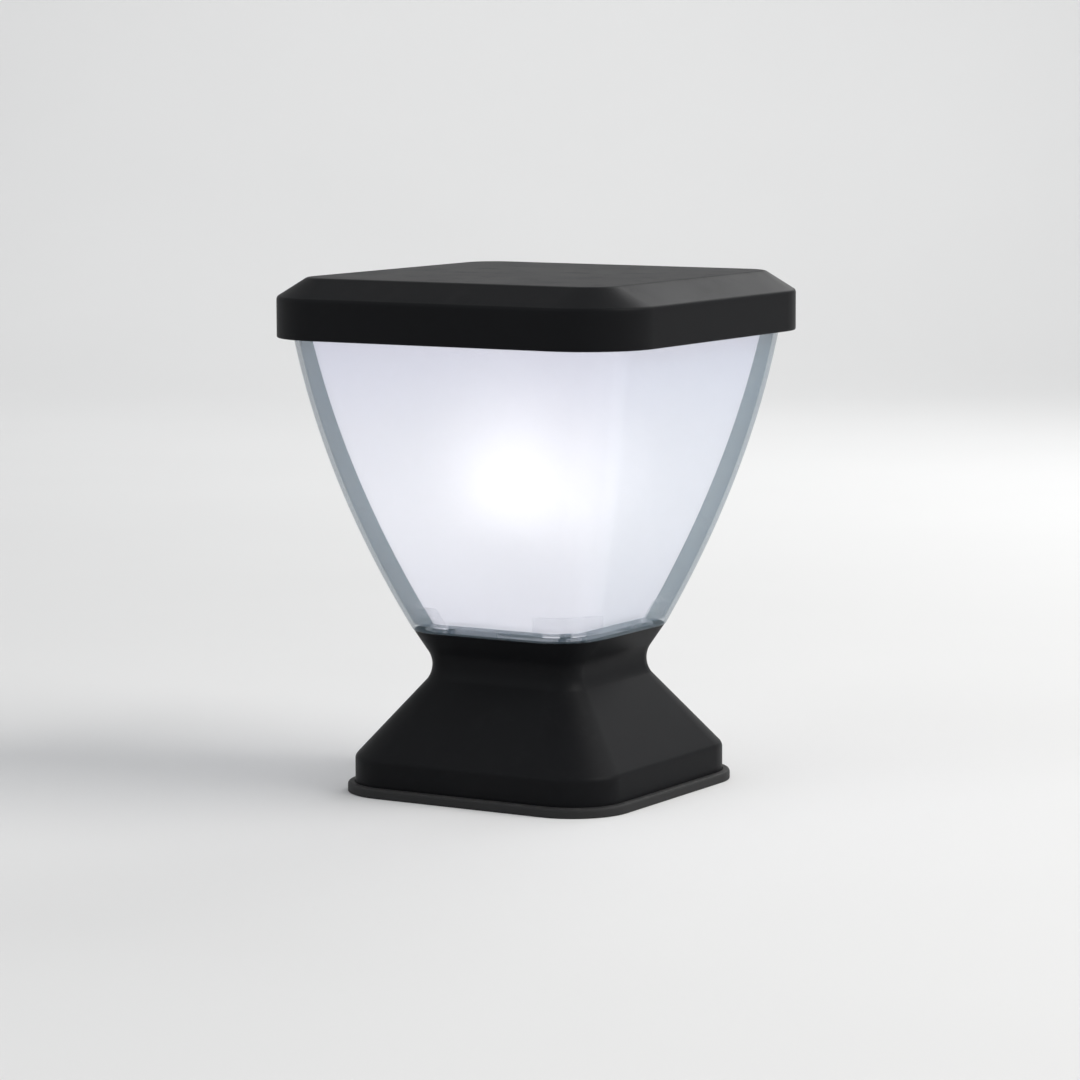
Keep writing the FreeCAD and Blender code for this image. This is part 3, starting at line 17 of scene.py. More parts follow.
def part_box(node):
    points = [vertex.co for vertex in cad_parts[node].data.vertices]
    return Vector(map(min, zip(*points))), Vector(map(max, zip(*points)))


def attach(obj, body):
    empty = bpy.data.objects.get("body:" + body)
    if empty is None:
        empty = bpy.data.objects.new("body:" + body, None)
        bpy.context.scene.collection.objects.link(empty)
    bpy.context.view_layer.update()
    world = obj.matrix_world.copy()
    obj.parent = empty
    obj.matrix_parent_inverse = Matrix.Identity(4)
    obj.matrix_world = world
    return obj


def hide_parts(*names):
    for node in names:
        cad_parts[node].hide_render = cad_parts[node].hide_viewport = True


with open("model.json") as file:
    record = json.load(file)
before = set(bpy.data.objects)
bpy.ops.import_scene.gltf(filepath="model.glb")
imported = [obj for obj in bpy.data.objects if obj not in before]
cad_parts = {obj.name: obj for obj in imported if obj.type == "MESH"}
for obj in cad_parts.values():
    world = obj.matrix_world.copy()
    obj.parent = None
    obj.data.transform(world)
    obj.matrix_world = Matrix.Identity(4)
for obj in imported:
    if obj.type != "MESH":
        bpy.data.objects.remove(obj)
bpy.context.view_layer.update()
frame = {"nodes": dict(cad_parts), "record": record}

MM = 0.001

# %% [markdown]
# Sizes first. The same few numbers shape every shell, so they are kept together. The sides
# of the shade and of the diffuser follow one rule: a straight lean with a bow added on it,
# greatest at mid height. The neck of the base follows an arc above and below its
# narrowest place. Writing the rules as functions keeps neighbouring pieces in step.

# %% Sizes of the shells
SKIRT_LOW, SKIRT_HIGH, CAP_TOP = 219.0, 238.2, 247.5
CAP_HALF, CAP_CORNER, TOP_HALF, TOP_CORNER, CAP_WALL = 100.0, 35.0, 83.8, 15.0, 2.5
COLLAR, RIM, SHADE_FLOOR = 77.4, 230.0, 3.2
SHADE_FOOT, SHADE_LEAN, SHADE_BOW = 51.0, 41.6, 5.8
SHADE_CORNER, SHADE_WALL = 24.0, 2.2
FLOOR_TOP, DIFFUSER_RIM = COLLAR + SHADE_FLOOR, 226.0
DIFFUSER_FOOT, DIFFUSER_LEAN, DIFFUSER_BOW = 41.7, 41.9, 4.85
DIFFUSER_CORNER, DIFFUSER_WALL = 15.0, 2.0
OPENING, POST_PLACE, POST_RADIUS, SCREW_BORE = 21.7, 31.0, 4.0, 2.0
POSTS = [(x, y) for x in (-POST_PLACE, POST_PLACE) for y in (-POST_PLACE, POST_PLACE)]
NECK, NECK_HALF, NECK_CORNER, NECK_BEND, NECK_REACH = 60.5, 41.0, 12.0, 12.0, 38.0
LAMP_MIDDLE = 137.0


def shade_half(level):
    """Half the clear shade's width at a level."""
    rise = (level - COLLAR) / (RIM - COLLAR)
    return SHADE_FOOT + SHADE_LEAN * rise + 4 * SHADE_BOW * rise * (1 - rise)


def diffuser_half(level):
    """Half the diffuser's width at a level."""
    rise = (level - FLOOR_TOP) / (DIFFUSER_RIM - FLOOR_TOP)
    return DIFFUSER_FOOT + DIFFUSER_LEAN * rise + 4 * DIFFUSER_BOW * rise * (1 - rise)


def waist(share, inset=0.0):
    """Half width, corner radius and level on the neck's arc, at a share from -1 to 1."""
    lean = math.radians(NECK_REACH) * share
    grow = NECK_BEND * (1 - math.cos(lean)) - inset
    return (NECK_HALF + grow, NECK_CORNER + grow, NECK + NECK_BEND * math.sin(lean))


print("shade at mid height", round(2 * shade_half((COLLAR + RIM) / 2), 1), "mm wide")

# %% [markdown]
# The camera comes next, because every choice of look is judged through it. It stands to
# the right of the front face and a little above the foot, far away with a long lens, so
# upright edges stay almost parallel. Its place is built from two angles and a distance.

# %% Camera
AZIMUTH, ELEVATION, DISTANCE = math.radians(31.188), math.radians(6.973), 1988.8
AIM_LEVEL, AIM_ASIDE, ROLL = 119.01, 0.174, math.radians(-0.158)
LENS, SENSOR = 137.55, 36.0

back = Vector((math.sin(AZIMUTH) * math.cos(ELEVATION), -math.cos(AZIMUTH) * math.cos(ELEVATION),
               math.sin(ELEVATION)))
level_right = Vector((math.cos(AZIMUTH), math.sin(AZIMUTH), 0.0))
level_up = back.cross(level_right)
right = level_right * math.cos(ROLL) + level_up * math.sin(ROLL)
up = back.cross(right)
place = (back * DISTANCE + Vector((0, 0, AIM_LEVEL)) + level_right * AIM_ASIDE) * MM

camera_data = bpy.data.cameras.new("Camera")
camera_data.lens = LENS
camera_data.sensor_width = SENSOR
camera = bpy.data.objects.new("Camera", camera_data)
bpy.context.scene.collection.objects.link(camera)
camera.matrix_world = Matrix((
    (right.x, up.x, back.x, place.x), (right.y, up.y, back.y, place.y),
    (right.z, up.z, back.z, place.z), (0, 0, 0, 1)))
bpy.context.scene.camera = camera
print("camera at", [round(v, 3) for v in place], "lens", LENS)

# %% [markdown]
# The stage is one sheet: a pale floor that curves up into a wall behind the light, so no
# horizon shows. It is made from a short curve swept sideways. A few wide lamps give soft
# light, and the world fills the rest. The right side gets the most, as in the photograph: one
# lamp lights it, and one behind gives its bevel and slope their sheen. The last lamp has a
# narrow spread and lights only the wall.

# %% Floor and lamps
FLOOR_WIDE, FLOOR_FRONT, FLOOR_BACK, SWEEP, WALL_TOP = 9.0, -3.0, 2.2, 1.0, 4.5
SWEEP_STEPS = 12


def make_stage():
    """A floor that turns up into a wall, facing the camera."""
    line = [(FLOOR_FRONT, 0.0), (FLOOR_BACK, 0.0)]
    for step in range(1, SWEEP_STEPS + 1):
        turn = math.pi / 2 * step / SWEEP_STEPS
        line.append((FLOOR_BACK + SWEEP * math.sin(turn), SWEEP * (1 - math.cos(turn))))
    line.append((FLOOR_BACK + SWEEP, WALL_TOP))
    mesh = bpy.data.meshes.new("Floor")
    points = [(x, y, z) for y, z in line for x in (-FLOOR_WIDE / 2, FLOOR_WIDE / 2)]
    faces = [(2 * i, 2 * i + 1, 2 * i + 3, 2 * i + 2) for i in range(len(line) - 1)]
    mesh.from_pydata(points, [], faces)
    mesh.polygons.foreach_set("use_smooth", [True] * len(faces))
    floor = bpy.data.objects.new("Floor", mesh)
    floor.rotation_euler = (0, 0, AZIMUTH)
    bpy.context.scene.collection.objects.link(floor)
    return floor


def add_lamp(name, spot, aim, size, power, colour=(1, 1, 1), spread=180.0):
    """A square lamp at a spot, in metres, facing a point."""
    data = bpy.data.lights.new(name, "AREA")
    data.size = size
    data.energy = power
    data.color = colour
    data.spread = math.radians(spread)
    lamp = bpy.data.objects.new(name, data)
    lamp.location = spot
    lamp.rotation_euler = (Vector(aim) - Vector(spot)).to_track_quat("-Z", "Y").to_euler()
    bpy.context.scene.collection.objects.link(lamp)
    return lamp


floor = make_stage()
add_lamp("Lamp_right", (1.9, 0.5, 1.7), (0, 0, 0.14), 1.6, 45.0, (1.0, 0.98, 0.95))
add_lamp("Lamp_front", (-0.9, -2.0, 1.6), (0, 0, 0.12), 1.2, 6.0, (0.94, 0.97, 1.0))
add_lamp("Lamp_rear", (0.05, 1.6, 1.1), (0, 0, 0.14), 0.9, 8.0)
add_lamp("Lamp_wall", (-0.93, 1.54, 1.7), (-1.35, 2.3, 0.2), 1.8, 5.0, spread=110.0)
print("stage", len(floor.data.polygons), "faces and 4 lamps")

# %% [markdown]
# Finishes are built from nodes. Wiring nodes by hand hides the sum that they stand for, so
# one small class wraps a node's output and lets ordinary Python sums make the Math nodes:
# `1 - mask` or `grain * 0.2 + 0.5` then read as what they mean.

# %% Sums on sockets
class Value:
    """A node's output that can be used in sums."""

    def __init__(self, finish, socket):
        self.finish, self.socket = finish, socket

    def sum(self, operation, first, second):
        return self.finish.node("ShaderNodeMath", {"operation": operation}, {0: first, 1: second})

    def __add__(self, other):
        return self.sum("ADD", self, other)

    def __radd__(self, other):
        return self.sum("ADD", other, self)

    def __sub__(self, other):
        return self.sum("SUBTRACT", self, other)

    def __rsub__(self, other):
        return self.sum("SUBTRACT", other, self)

    def __mul__(self, other):
        return self.sum("MULTIPLY", self, other)

    def __rmul__(self, other):
        return self.sum("MULTIPLY", other, self)

    def __pow__(self, other):
        return self.sum("POWER", self, other)

    def __rpow__(self, other):
        return self.sum("POWER", other, self)


print("sums: + - * ** on", Value.__name__)

# %% [markdown]
# A finish holds one material. Its `node` method makes any node: settings go in first,
# because they can change the sockets, then values and links. Three short helpers cover what
# nearly every surface here needs: a soft random pattern, a mix of two colours, and a bump.

# %% Finish, a material made of nodes
class Finish:
    """One material: makes nodes, joins them and hands the result to the surface."""

    def __init__(self, name):
        self.material = bpy.data.materials.new(name)
        self.material.use_nodes = True
        self.tree = self.material.node_tree
        self.tree.nodes.clear()
        self.output = self.tree.nodes.new("ShaderNodeOutputMaterial")

    def join(self, value, socket):
        if isinstance(value, Value):
            self.tree.links.new(value.socket, socket)
        elif value is not None:
            socket.default_value = value

    def node(self, kind, settings=None, inputs=None, output=0):
        node = self.tree.nodes.new(kind)
        for name, setting in (settings or {}).items():
            if name == "stops":
                ramp = node.color_ramp.elements
                while len(ramp) < len(setting):
                    ramp.new(0.5)
                for element, (place, colour) in zip(ramp, setting):
                    element.position = place
                    element.color = colour
            else:
                setattr(node, name, setting)
        for name, value in (inputs or {}).items():
            self.join(value, node.inputs[name])
        return Value(self, node.outputs[output])

    def spot(self):
        """The place on the piece, in metres from the object's origin."""
        return self.node("ShaderNodeTexCoord", output="Object")

    def noise(self, scale, detail=3.0, roughness=0.5, where=None):
        return self.node("ShaderNodeTexNoise", {}, {
            "Vector": where or self.spot(), "Scale": scale, "Detail": detail,
            "Roughness": roughness}, "Fac")

    def stretched(self, x, y, z):
        """The place, with each direction scaled, for streaks and brushing."""
        return self.node("ShaderNodeVectorMath", {"operation": "MULTIPLY"},
                         {0: self.spot(), 1: (x, y, z)})

    def colours(self, first, second, share):
        return self.node("ShaderNodeMix", {"data_type": "RGBA"},
                         {0: share, 6: first, 7: second}, 2)

    def clamp(self, value, low, high):
        """The value's stretch from low to high, as 0 to 1."""
        return self.node("ShaderNodeMapRange", {"interpolation_type": "SMOOTHSTEP"}, {
            "Value": value, "From Min": low, "From Max": high, "To Min": 0.0, "To Max": 1.0})

    def bump(self, height, strength, distance):
        return self.node("ShaderNodeBump", {}, {
            "Strength": strength, "Distance": distance, "Height": height}, "Normal")

    def surface(self, **sockets):
        """Finishes the material with a surface that has these sockets set."""
        names = {key.replace("_", " "): value for key, value in sockets.items()}
        shade = self.node("ShaderNodeBsdfPrincipled", {}, names)
        self.join(shade, self.output.inputs["Surface"])
        return self.material


def rgb(red, green, blue):
    return (red, green, blue, 1.0)


print("finish helpers:", [name for name in vars(Finish) if not name.startswith("_")])

# %% [markdown]
# The backdrop and world. The floor is plain pale paper with a very faint mottle. The world
# lights everything evenly, and shows the same pale tone where it is seen directly, in gloss
# or through clear plastic.

# %% Backdrop finish and world
WORLD_LIGHT, WORLD_SEEN = 0.5, 0.9


def paper():
    make = Finish("Pale_paper")
    mottle = make.noise(3.0)
    colour = make.colours(rgb(0.78, 0.78, 0.78), rgb(0.81, 0.81, 0.81), mottle)
    return make.surface(Base_Color=colour, Roughness=0.9, Specular_IOR_Level=0.1,
                        Normal=make.bump(make.noise(400.0), 0.05, 0.0005))


def light_world():
    world = bpy.data.worlds.new("World")
    world.use_nodes = True
    nodes, links = world.node_tree.nodes, world.node_tree.links
    nodes.clear()
    paths = nodes.new("ShaderNodeLightPath")
    seen = nodes.new("ShaderNodeMath")
    seen.operation = "MAXIMUM"
    links.new(paths.outputs["Is Camera Ray"], seen.inputs[0])
    links.new(paths.outputs["Is Transmission Ray"], seen.inputs[1])
    mirrored = nodes.new("ShaderNodeMath")
    mirrored.operation = "MAXIMUM"
    links.new(seen.outputs[0], mirrored.inputs[0])
    links.new(paths.outputs["Is Glossy Ray"], mirrored.inputs[1])
    strength = nodes.new("ShaderNodeMapRange")
    strength.inputs["To Min"].default_value = WORLD_LIGHT
    strength.inputs["To Max"].default_value = WORLD_SEEN
    links.new(mirrored.outputs[0], strength.inputs["Value"])
    light = nodes.new("ShaderNodeBackground")
    light.inputs["Color"].default_value = rgb(0.97, 0.985, 1.0)
    links.new(strength.outputs[0], light.inputs["Strength"])
    output = nodes.new("ShaderNodeOutputWorld")
    links.new(light.outputs[0], output.inputs["Surface"])
    bpy.context.scene.world = world


floor.data.materials.append(paper())
light_world()
bpy.context.scene.view_settings.view_transform = "Standard"
print("world light", WORLD_LIGHT, "seen", WORLD_SEEN)

# %% [markdown]
# Black outdoor plastic. On the real light it is satin, with a fine moulded grain that
# breaks up reflections, slightly uneven gloss where hands and weather have been, and a
# breath of dust on faces that look up. The grain is bump only, so the outline stays crisp.

# %% Black plastic and rubber
def upward(make):
    """How far a surface looks up, from 0 on walls to 1 on level tops."""
    facing = make.node("ShaderNodeNewGeometry", output="Normal")
    parts = make.node("ShaderNodeSeparateXYZ", {}, {0: facing}, "Z")
    return make.clamp(parts, 0.3, 1.0)


def black_plastic():
    make = Finish("Black_plastic")
    grain = make.noise(2600.0, 4.0, 0.6)
    pores = make.noise(900.0, 2.0)
    cloud = make.noise(22.0, 5.0, 0.55)
    dust = upward(make) * make.clamp(make.noise(60.0, 6.0, 0.7), 0.5, 0.8)
    shade = make.colours(rgb(0.0050, 0.0052, 0.0060), rgb(0.0085, 0.0088, 0.0098), cloud)
    colour = make.colours(shade, rgb(0.030, 0.030, 0.031), dust * 0.3)
    return make.surface(Base_Color=colour, Roughness=cloud * 0.10 + 0.40 + dust * 0.1,
                        Specular_IOR_Level=0.06,
                        Normal=make.bump(grain * 0.6 + pores * 0.4, 0.35, 0.00012))


def black_rubber():
    make = Finish("Black_rubber")
    cloud = make.noise(70.0, 5.0, 0.6)
    dust = upward(make) * make.clamp(make.noise(180.0, 5.0, 0.7), 0.4, 0.8)
    shade = make.colours(rgb(0.011, 0.011, 0.011), rgb(0.020, 0.020, 0.021), cloud)
    colour = make.colours(shade, rgb(0.09, 0.085, 0.08), dust * 0.4)
    return make.surface(Base_Color=colour, Roughness=cloud * 0.15 + 0.62, Specular_IOR_Level=0.3,
                        Normal=make.bump(make.noise(1500.0, 3.0), 0.3, 0.0001))


finishes = {"black_plastic": black_plastic(), "black_rubber": black_rubber()}
print("made", sorted(finishes))

# %% [markdown]
# The clear shade. Thick clear plastic could be traced as glass, but glass blocks lamp light
# and turns grainy in a quick picture. Here each face is thin and lets most of what is behind
# it through: a third of it is a cool dark colour square on, and more as the face turns away.
# On the shade that colour is painted shade, standing in for dark surroundings seen in the
# plastic, and it gives the grey-blue band beside the diffuser. The solid corner blocks are clearer.

# %% Clear plastic
def clear_plastic(name, least, dark, light):
    """Clear plastic that hides at least a share of what is behind each face."""
    make = Finish(name)
    turned = make.node("ShaderNodeLayerWeight", {}, {"Blend": 0.5}, "Facing")
    film = make.noise(14.0, 4.0, 0.6)
    specks = make.clamp(make.noise(420.0, 3.0, 0.7), 0.70, 0.80)
    face_colour = make.colours(dark, light, film)
    colour = make.colours(face_colour, rgb(0.5, 0.5, 0.5), specks * 0.2)
    alpha = turned ** 4.0 * 0.5 + least + specks * 0.02
    return make.surface(Base_Color=colour, Roughness=film * 0.05 + 0.05, IOR=1.49,
                        Specular_IOR_Level=0.5, Alpha=alpha,
                        Normal=make.bump(make.noise(30.0, 2.0), 0.06, 0.0006))


# The shade's dark blue-grey is painted shade: it stands in for dark surroundings seen in the clear plastic.
finishes["clear_plastic"] = clear_plastic("Clear_plastic", 0.33, rgb(0.12, 0.185, 0.235),
                                          rgb(0.15, 0.215, 0.26))
finishes["clear_block"] = clear_plastic("Clear_block", 0.05, rgb(0.74, 0.76, 0.80),
                                        rgb(0.80, 0.82, 0.86))
print("clear finishes made")

# %% [markdown]
# The opal diffuser's glow is painted light: emission in its finish stands in for the lamp
# inside lighting it. Part of the glow is worked out in the piece's own space: the distance to
# the lamp's middle, with the sideways part counted for less, because the thick opal wall
# spreads light along its faces. It goes from white to a cool lavender white at the top and the
# foot. Faces that look inwards get less painted glow, so the lamp can be seen with the cap off.
# The wall also lets light through it with a strong blur, so the lit globe behind it shows as
# one soft round glow from whatever side the light is seen.

# %% Opal plastic, painted glow
GLOW_NEAR, GLOW_FAR, SIDEWAYS = 0.022, 0.104, 0.40
OPAL_LIGHT, GLOBE_LIGHT = 1.68, 6.0


def opal_plastic():
    make = Finish("Opal_plastic")
    # Painted glow: emission brightest near the lamp's middle stands in for the lamp's light in the opal.
    reach = make.node("ShaderNodeVectorMath", {"operation": "DISTANCE"}, {
        0: make.stretched(SIDEWAYS, SIDEWAYS, 1.0), 1: (0.0, 0.0, LAMP_MIDDLE * MM)}, "Value")
    cloud = make.noise(35.0, 3.0)
    far = make.node("ShaderNodeMapRange", {}, {
        "Value": reach + cloud * 0.003, "From Min": GLOW_NEAR, "From Max": GLOW_FAR})
    glow = make.node("ShaderNodeValToRGB", {"stops": [
        (0.0, rgb(0.56, 0.55, 0.565)), (0.35, rgb(0.50, 0.49, 0.515)),
        (0.65, rgb(0.44, 0.43, 0.47)), (1.0, rgb(0.385, 0.38, 0.432))]}, {"Fac": far}, "Color")
    # Inward faces get a dim painted glow, outward faces the full one.
    facing = make.node("ShaderNodeNewGeometry", output="Normal")
    outward = make.node("ShaderNodeVectorMath", {"operation": "DOT_PRODUCT"}, {
        0: make.stretched(1.0, 1.0, 0.0), 1: facing}, "Value")
    glow = make.colours(rgb(0.13, 0.128, 0.135), glow, make.clamp(outward, -0.004, 0.004))
    wall_colour = make.colours(rgb(0.49, 0.485, 0.51), rgb(0.51, 0.505, 0.53), cloud)
    return make.surface(Base_Color=wall_colour, Roughness=cloud * 0.05 + 0.80, IOR=1.5,
                        Specular_IOR_Level=0.3, Transmission_Weight=0.75,
                        Emission_Color=glow, Emission_Strength=OPAL_LIGHT,
                        Normal=make.bump(make.noise(500.0, 3.0), 0.08, 0.0001))


def globe_plastic():
    make = Finish("Globe_plastic")
    cloud = make.noise(60.0, 3.0)
    glow = make.colours(rgb(0.95, 0.93, 0.88), rgb(1.0, 0.99, 0.96), cloud)
    return make.surface(Base_Color=rgb(0.8, 0.8, 0.79), Roughness=cloud * 0.1 + 0.4,
                        Emission_Color=glow, Emission_Strength=GLOBE_LIGHT,
                        Normal=make.bump(make.noise(700.0), 0.05, 0.0001))


finishes["opal_plastic"] = opal_plastic()
finishes["globe_plastic"] = globe_plastic()
print("lit finishes made")

# %% [markdown]
# Metals. Zinc-plated sheet has a soft brushed look with small cloudy patches, brass is warm
# and a little tarnished, and the lamp's cap is nickelled. All three share one recipe: a
# metal colour, clouds that change its roughness, and streaks that follow the rolling.

# %% Metals
def metal(name, bright, dull, rough):
    make = Finish(name)
    streaks = make.noise(240.0, 4.0, 0.6, make.stretched(1.0, 0.04, 1.0))
    cloud = make.noise(90.0, 5.0, 0.6)
    return make.surface(Base_Color=make.colours(bright, dull, cloud), Metallic=1.0,
                        Roughness=streaks * 0.16 + cloud * 0.1 + rough,
                        Normal=make.bump(streaks, 0.12, 0.00008))


finishes["steel"] = metal("Zinc_steel", rgb(0.66, 0.67, 0.68), rgb(0.50, 0.51, 0.52), 0.24)
finishes["brass"] = metal("Brass", rgb(0.80, 0.60, 0.28), rgb(0.60, 0.43, 0.19), 0.18)
finishes["nickelled_brass"] = metal("Nickelled_brass", rgb(0.76, 0.73, 0.67),
                                    rgb(0.60, 0.57, 0.52), 0.16)
print("metals:", [key for key in finishes if key in ("steel", "brass", "nickelled_brass")])

# %% [markdown]
# Small plastics. The liner, lamp housing and terminal block are white, the lampholder is
# cream thermoset, the leads are brown and blue. Each gets light mottling, a fine bump and
# uneven gloss, so none of them is one flat colour when the cap is lifted.

# %% Small plastics and boards
def moulded(name, light, dark, rough, grain=1200.0):
    make = Finish(name)
    cloud = make.noise(55.0, 4.0, 0.6)
    return make.surface(Base_Color=make.colours(light, dark, cloud),
                        Roughness=cloud * 0.14 + rough, Specular_IOR_Level=0.45,
                        Normal=make.bump(make.noise(grain, 3.0), 0.15, 0.00008))


def circuit_board(name, lacquer, track):
    """Lacquered board with paler copper tracks under the lacquer."""
    make = Finish(name)
    lines = make.node("ShaderNodeTexBrick", {}, {
        "Vector": make.spot(), "Scale": 260.0, "Color1": rgb(0, 0, 0), "Color2": rgb(0, 0, 0),
        "Mortar": rgb(1, 1, 1), "Mortar Size": 0.03}, "Fac")
    cloud = make.noise(300.0)
    return make.surface(Base_Color=make.colours(lacquer, track, lines * 0.6),
                        Roughness=cloud * 0.15 + 0.3,
                        Normal=make.bump(lines + cloud * 0.2, 0.2, 0.00005))


def light_chip():
    make = Finish("Light_chip")
    cloud = make.noise(900.0)
    phosphor = make.colours(rgb(0.95, 0.80, 0.25), rgb(0.85, 0.66, 0.16), cloud)
    return make.surface(Base_Color=phosphor, Roughness=cloud * 0.1 + 0.3, Emission_Color=rgb(1.0, 0.94, 0.75),
                        Emission_Strength=1.5, Normal=make.bump(cloud, 0.1, 0.00005))


finishes.update({
    "white_plastic": moulded("White_plastic", rgb(0.74, 0.74, 0.73), rgb(0.68, 0.68, 0.67), 0.36),
    "holder_plastic": moulded("Holder_plastic", rgb(0.72, 0.70, 0.65), rgb(0.64, 0.62, 0.57), 0.28),
    "glass_insulator": moulded("Dark_insulator", rgb(0.03, 0.02, 0.035), rgb(0.05, 0.04, 0.06), 0.14),
    "brown_insulation": moulded("Brown_insulation", rgb(0.16, 0.065, 0.03), rgb(0.12, 0.05, 0.02), 0.4),
    "blue_insulation": moulded("Blue_insulation", rgb(0.035, 0.12, 0.42), rgb(0.025, 0.09, 0.33), 0.4),
    "led_board": circuit_board("White_board", rgb(0.78, 0.78, 0.76), rgb(0.62, 0.62, 0.6)),
    "driver_board": circuit_board("Green_board", rgb(0.03, 0.16, 0.07), rgb(0.10, 0.30, 0.14)),
    "led": light_chip(),
})
for part in frame["record"]["subparts"]:
    mesh = frame["nodes"][part["node"]].data
    mesh.materials.clear()
    mesh.materials.append(finishes[part["material_slot"]])

# %% [markdown]
# Every shell of this light has a square plan with rounded corners that changes with height.
# A lathe turns one outline about an axis. Here the same idea is used with a rounded square
# in place of the circle: an outline of (half width, corner radius, level, softening) points
# is swept round the square. Walls, floors, grooves and lips are all one outline, so a shell
# comes out closed and watertight. A corner as large as the half width gives a round hole.

# %% The square lathe
ARC_STEPS, SIDE_STEPS, SOFT_STEPS = 12, 6, 5
SOFT_SHARE, WELD, CRISP_ANGLE = 0.45, 1e-7, 35.0


def square_ring(half, corner, level, centre=(0.0, 0.0)):
    """Points around a rounded square, all four sides alike."""
    points = []
    straight = half - corner
    for quarter in range(4):
        turn = Matrix.Rotation(math.pi / 2 * quarter, 2)
        side = [Vector((half, -straight + 2 * straight * i / SIDE_STEPS)) for i in range(SIDE_STEPS)]
        bend = [Vector((straight + corner * math.cos(math.pi / 2 * i / ARC_STEPS),
                        straight + corner * math.sin(math.pi / 2 * i / ARC_STEPS)))
                for i in range(ARC_STEPS)]
        points += [turn @ point for point in side + bend]
    return [((x + centre[0]) * MM, (y + centre[1]) * MM, level * MM) for x, y in points]


def soften(outline, closed):
    """Rounds the outline's corners that ask for it, each over its softening distance."""
    smooth = []
    count = len(outline)
    for i, (half, corner, level, *soft) in enumerate(outline):
        here = Vector((half, corner, level))
        reach = soft[0] if soft else 0.0
        if not reach or (not closed and i in (0, count - 1)):
            smooth.append(here)
            continue
        before = Vector(outline[i - 1][:3])
        after = Vector(outline[(i + 1) % count][:3])
        start = here + (before - here).normalized() * min(reach, (before - here).length * SOFT_SHARE)
        end = here + (after - here).normalized() * min(reach, (after - here).length * SOFT_SHARE)
        for step in range(SOFT_STEPS + 1):
            s = step / SOFT_STEPS
            smooth.append(start * (1 - s) ** 2 + here * 2 * s * (1 - s) + end * s ** 2)
    return smooth


def sweep(bm, outline, closed=True, centre=(0.0, 0.0)):
    """Adds one swept outline to a mesh in the making."""
    rings = [[bm.verts.new(point) for point in square_ring(*row, centre)]
             for row in soften(outline, closed)]
    pairs = list(zip(rings, rings[1:] + rings[:1])) if closed else list(zip(rings, rings[1:]))
    for low, high in pairs:
        for i in range(len(low)):
            j = (i + 1) % len(low)
            bm.faces.new((low[i], low[j], high[j], high[i]))
    if not closed:
        bm.faces.new(list(reversed(rings[0])))
        bm.faces.new(rings[-1])


def shade_faces(mesh):
    """Smooth shading, with edges left crisp where they turn sharply."""
    mesh.polygons.foreach_set("use_smooth", [True] * len(mesh.polygons))
    mesh.set_sharp_from_angle(angle=math.radians(CRISP_ANGLE))


def finish_mesh(bm, name):
    """Cleans the mesh, shades it and makes the object."""
    bmesh.ops.remove_doubles(bm, verts=bm.verts, dist=WELD)
    bmesh.ops.recalc_face_normals(bm, faces=bm.faces)
    mesh = bpy.data.meshes.new(name)
    bm.to_mesh(mesh)
    bm.free()
    shade_faces(mesh)
    piece = bpy.data.objects.new(name, mesh)
    bpy.context.scene.collection.objects.link(piece)
    return piece


def dress(piece, node, body, slot):
    """Stands a piece in for a CAD node: hides the node, gives the piece the slot's finish and hangs it on the
    body.
    """
    piece.data.materials.append(finishes[slot])
    weights = piece.modifiers.new("Flat_faces", "WEIGHTED_NORMAL")
    weights.keep_sharp = True
    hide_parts(node)
    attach(piece, body)
    low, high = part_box(node)
    corners = [piece.matrix_world @ Vector(corner) for corner in piece.bound_box]
    size = [max(c[k] for c in corners) - min(c[k] for c in corners) for k in range(3)]
    print(piece.name, len(piece.data.polygons), "faces",
          "box", [round(v / MM, 1) for v in size], "node", [round(v / MM, 1) for v in high - low])
    return piece


print("square ring of", len(square_ring(10, 3, 0)), "points")

# %% [markdown]
# The cap. Its skirt hangs over the shade's rim, and a bevel runs up to a flat top. The
# corners tighten as the bevel rises, so the bevel's corner panels taper. The outline starts
# at the ceiling inside, goes down the wall, round the soft lower edge and up to the top.

# %% Cap shell
def make_cap():
    bm = bmesh.new()
    shoulder, ceiling_edge, flat_inset, flat_tighter = 1.3, 0.66, 8.0, 6.0
    sweep(bm, [
        (TOP_HALF - ceiling_edge, TOP_CORNER - ceiling_edge, CAP_TOP - CAP_WALL),
        (CAP_HALF - CAP_WALL, CAP_CORNER - CAP_WALL, SKIRT_HIGH - shoulder, 1.0),
        (CAP_HALF - CAP_WALL, CAP_CORNER - CAP_WALL, SKIRT_LOW, 0.4),
        (CAP_HALF, CAP_CORNER, SKIRT_LOW, 0.9),
        (CAP_HALF, CAP_CORNER, SKIRT_HIGH, 1.6),
        (TOP_HALF, TOP_CORNER, CAP_TOP, 1.8),
        (TOP_HALF - flat_inset, TOP_CORNER - flat_tighter, CAP_TOP),
    ], closed=False)
    return dress(finish_mesh(bm, "Cap_shell"), "cap_shell", "cap", "black_plastic")


make_cap()

# %% [markdown]
# The base is one moulding: an upright plinth, four straight slopes, a neck like a drawn-in
# waist, and a flared collar. A deck crosses the neck inside and carries the lampholder. The
# slopes are flat, so only their meeting lines are softened. The posts for the shade's
# screws and the bosses under the deck are short tubes of the same mesh.

# %% Base shell
PLINTH_HALF, PLINTH_CORNER, PLINTH_LOW, PLINTH_TOP = 71.7, 25.4, 1.8, 17.3
COLLAR_HALF, COLLAR_CORNER, LEDGE_WIDE, LEDGE_DEEP = 50.6, 23.5, 3.0, 1.0
BASE_WALL, DECK_LOW, LEAD_OPENING = 2.5, 57.5, 13.0
BOSS_PLACE, BOSS_RADIUS, BOSS_LOW = 27.0, 3.6, 51.5
NECK_STEPS = 8


def tube(bm, centre, inner, outer, low, high):
    """A short upright tube with an open bore, about its own centre."""
    sweep(bm, [(inner, inner, low), (outer, outer, low), (outer, outer, high, 0.3),
               (inner, inner, high)], centre=centre)


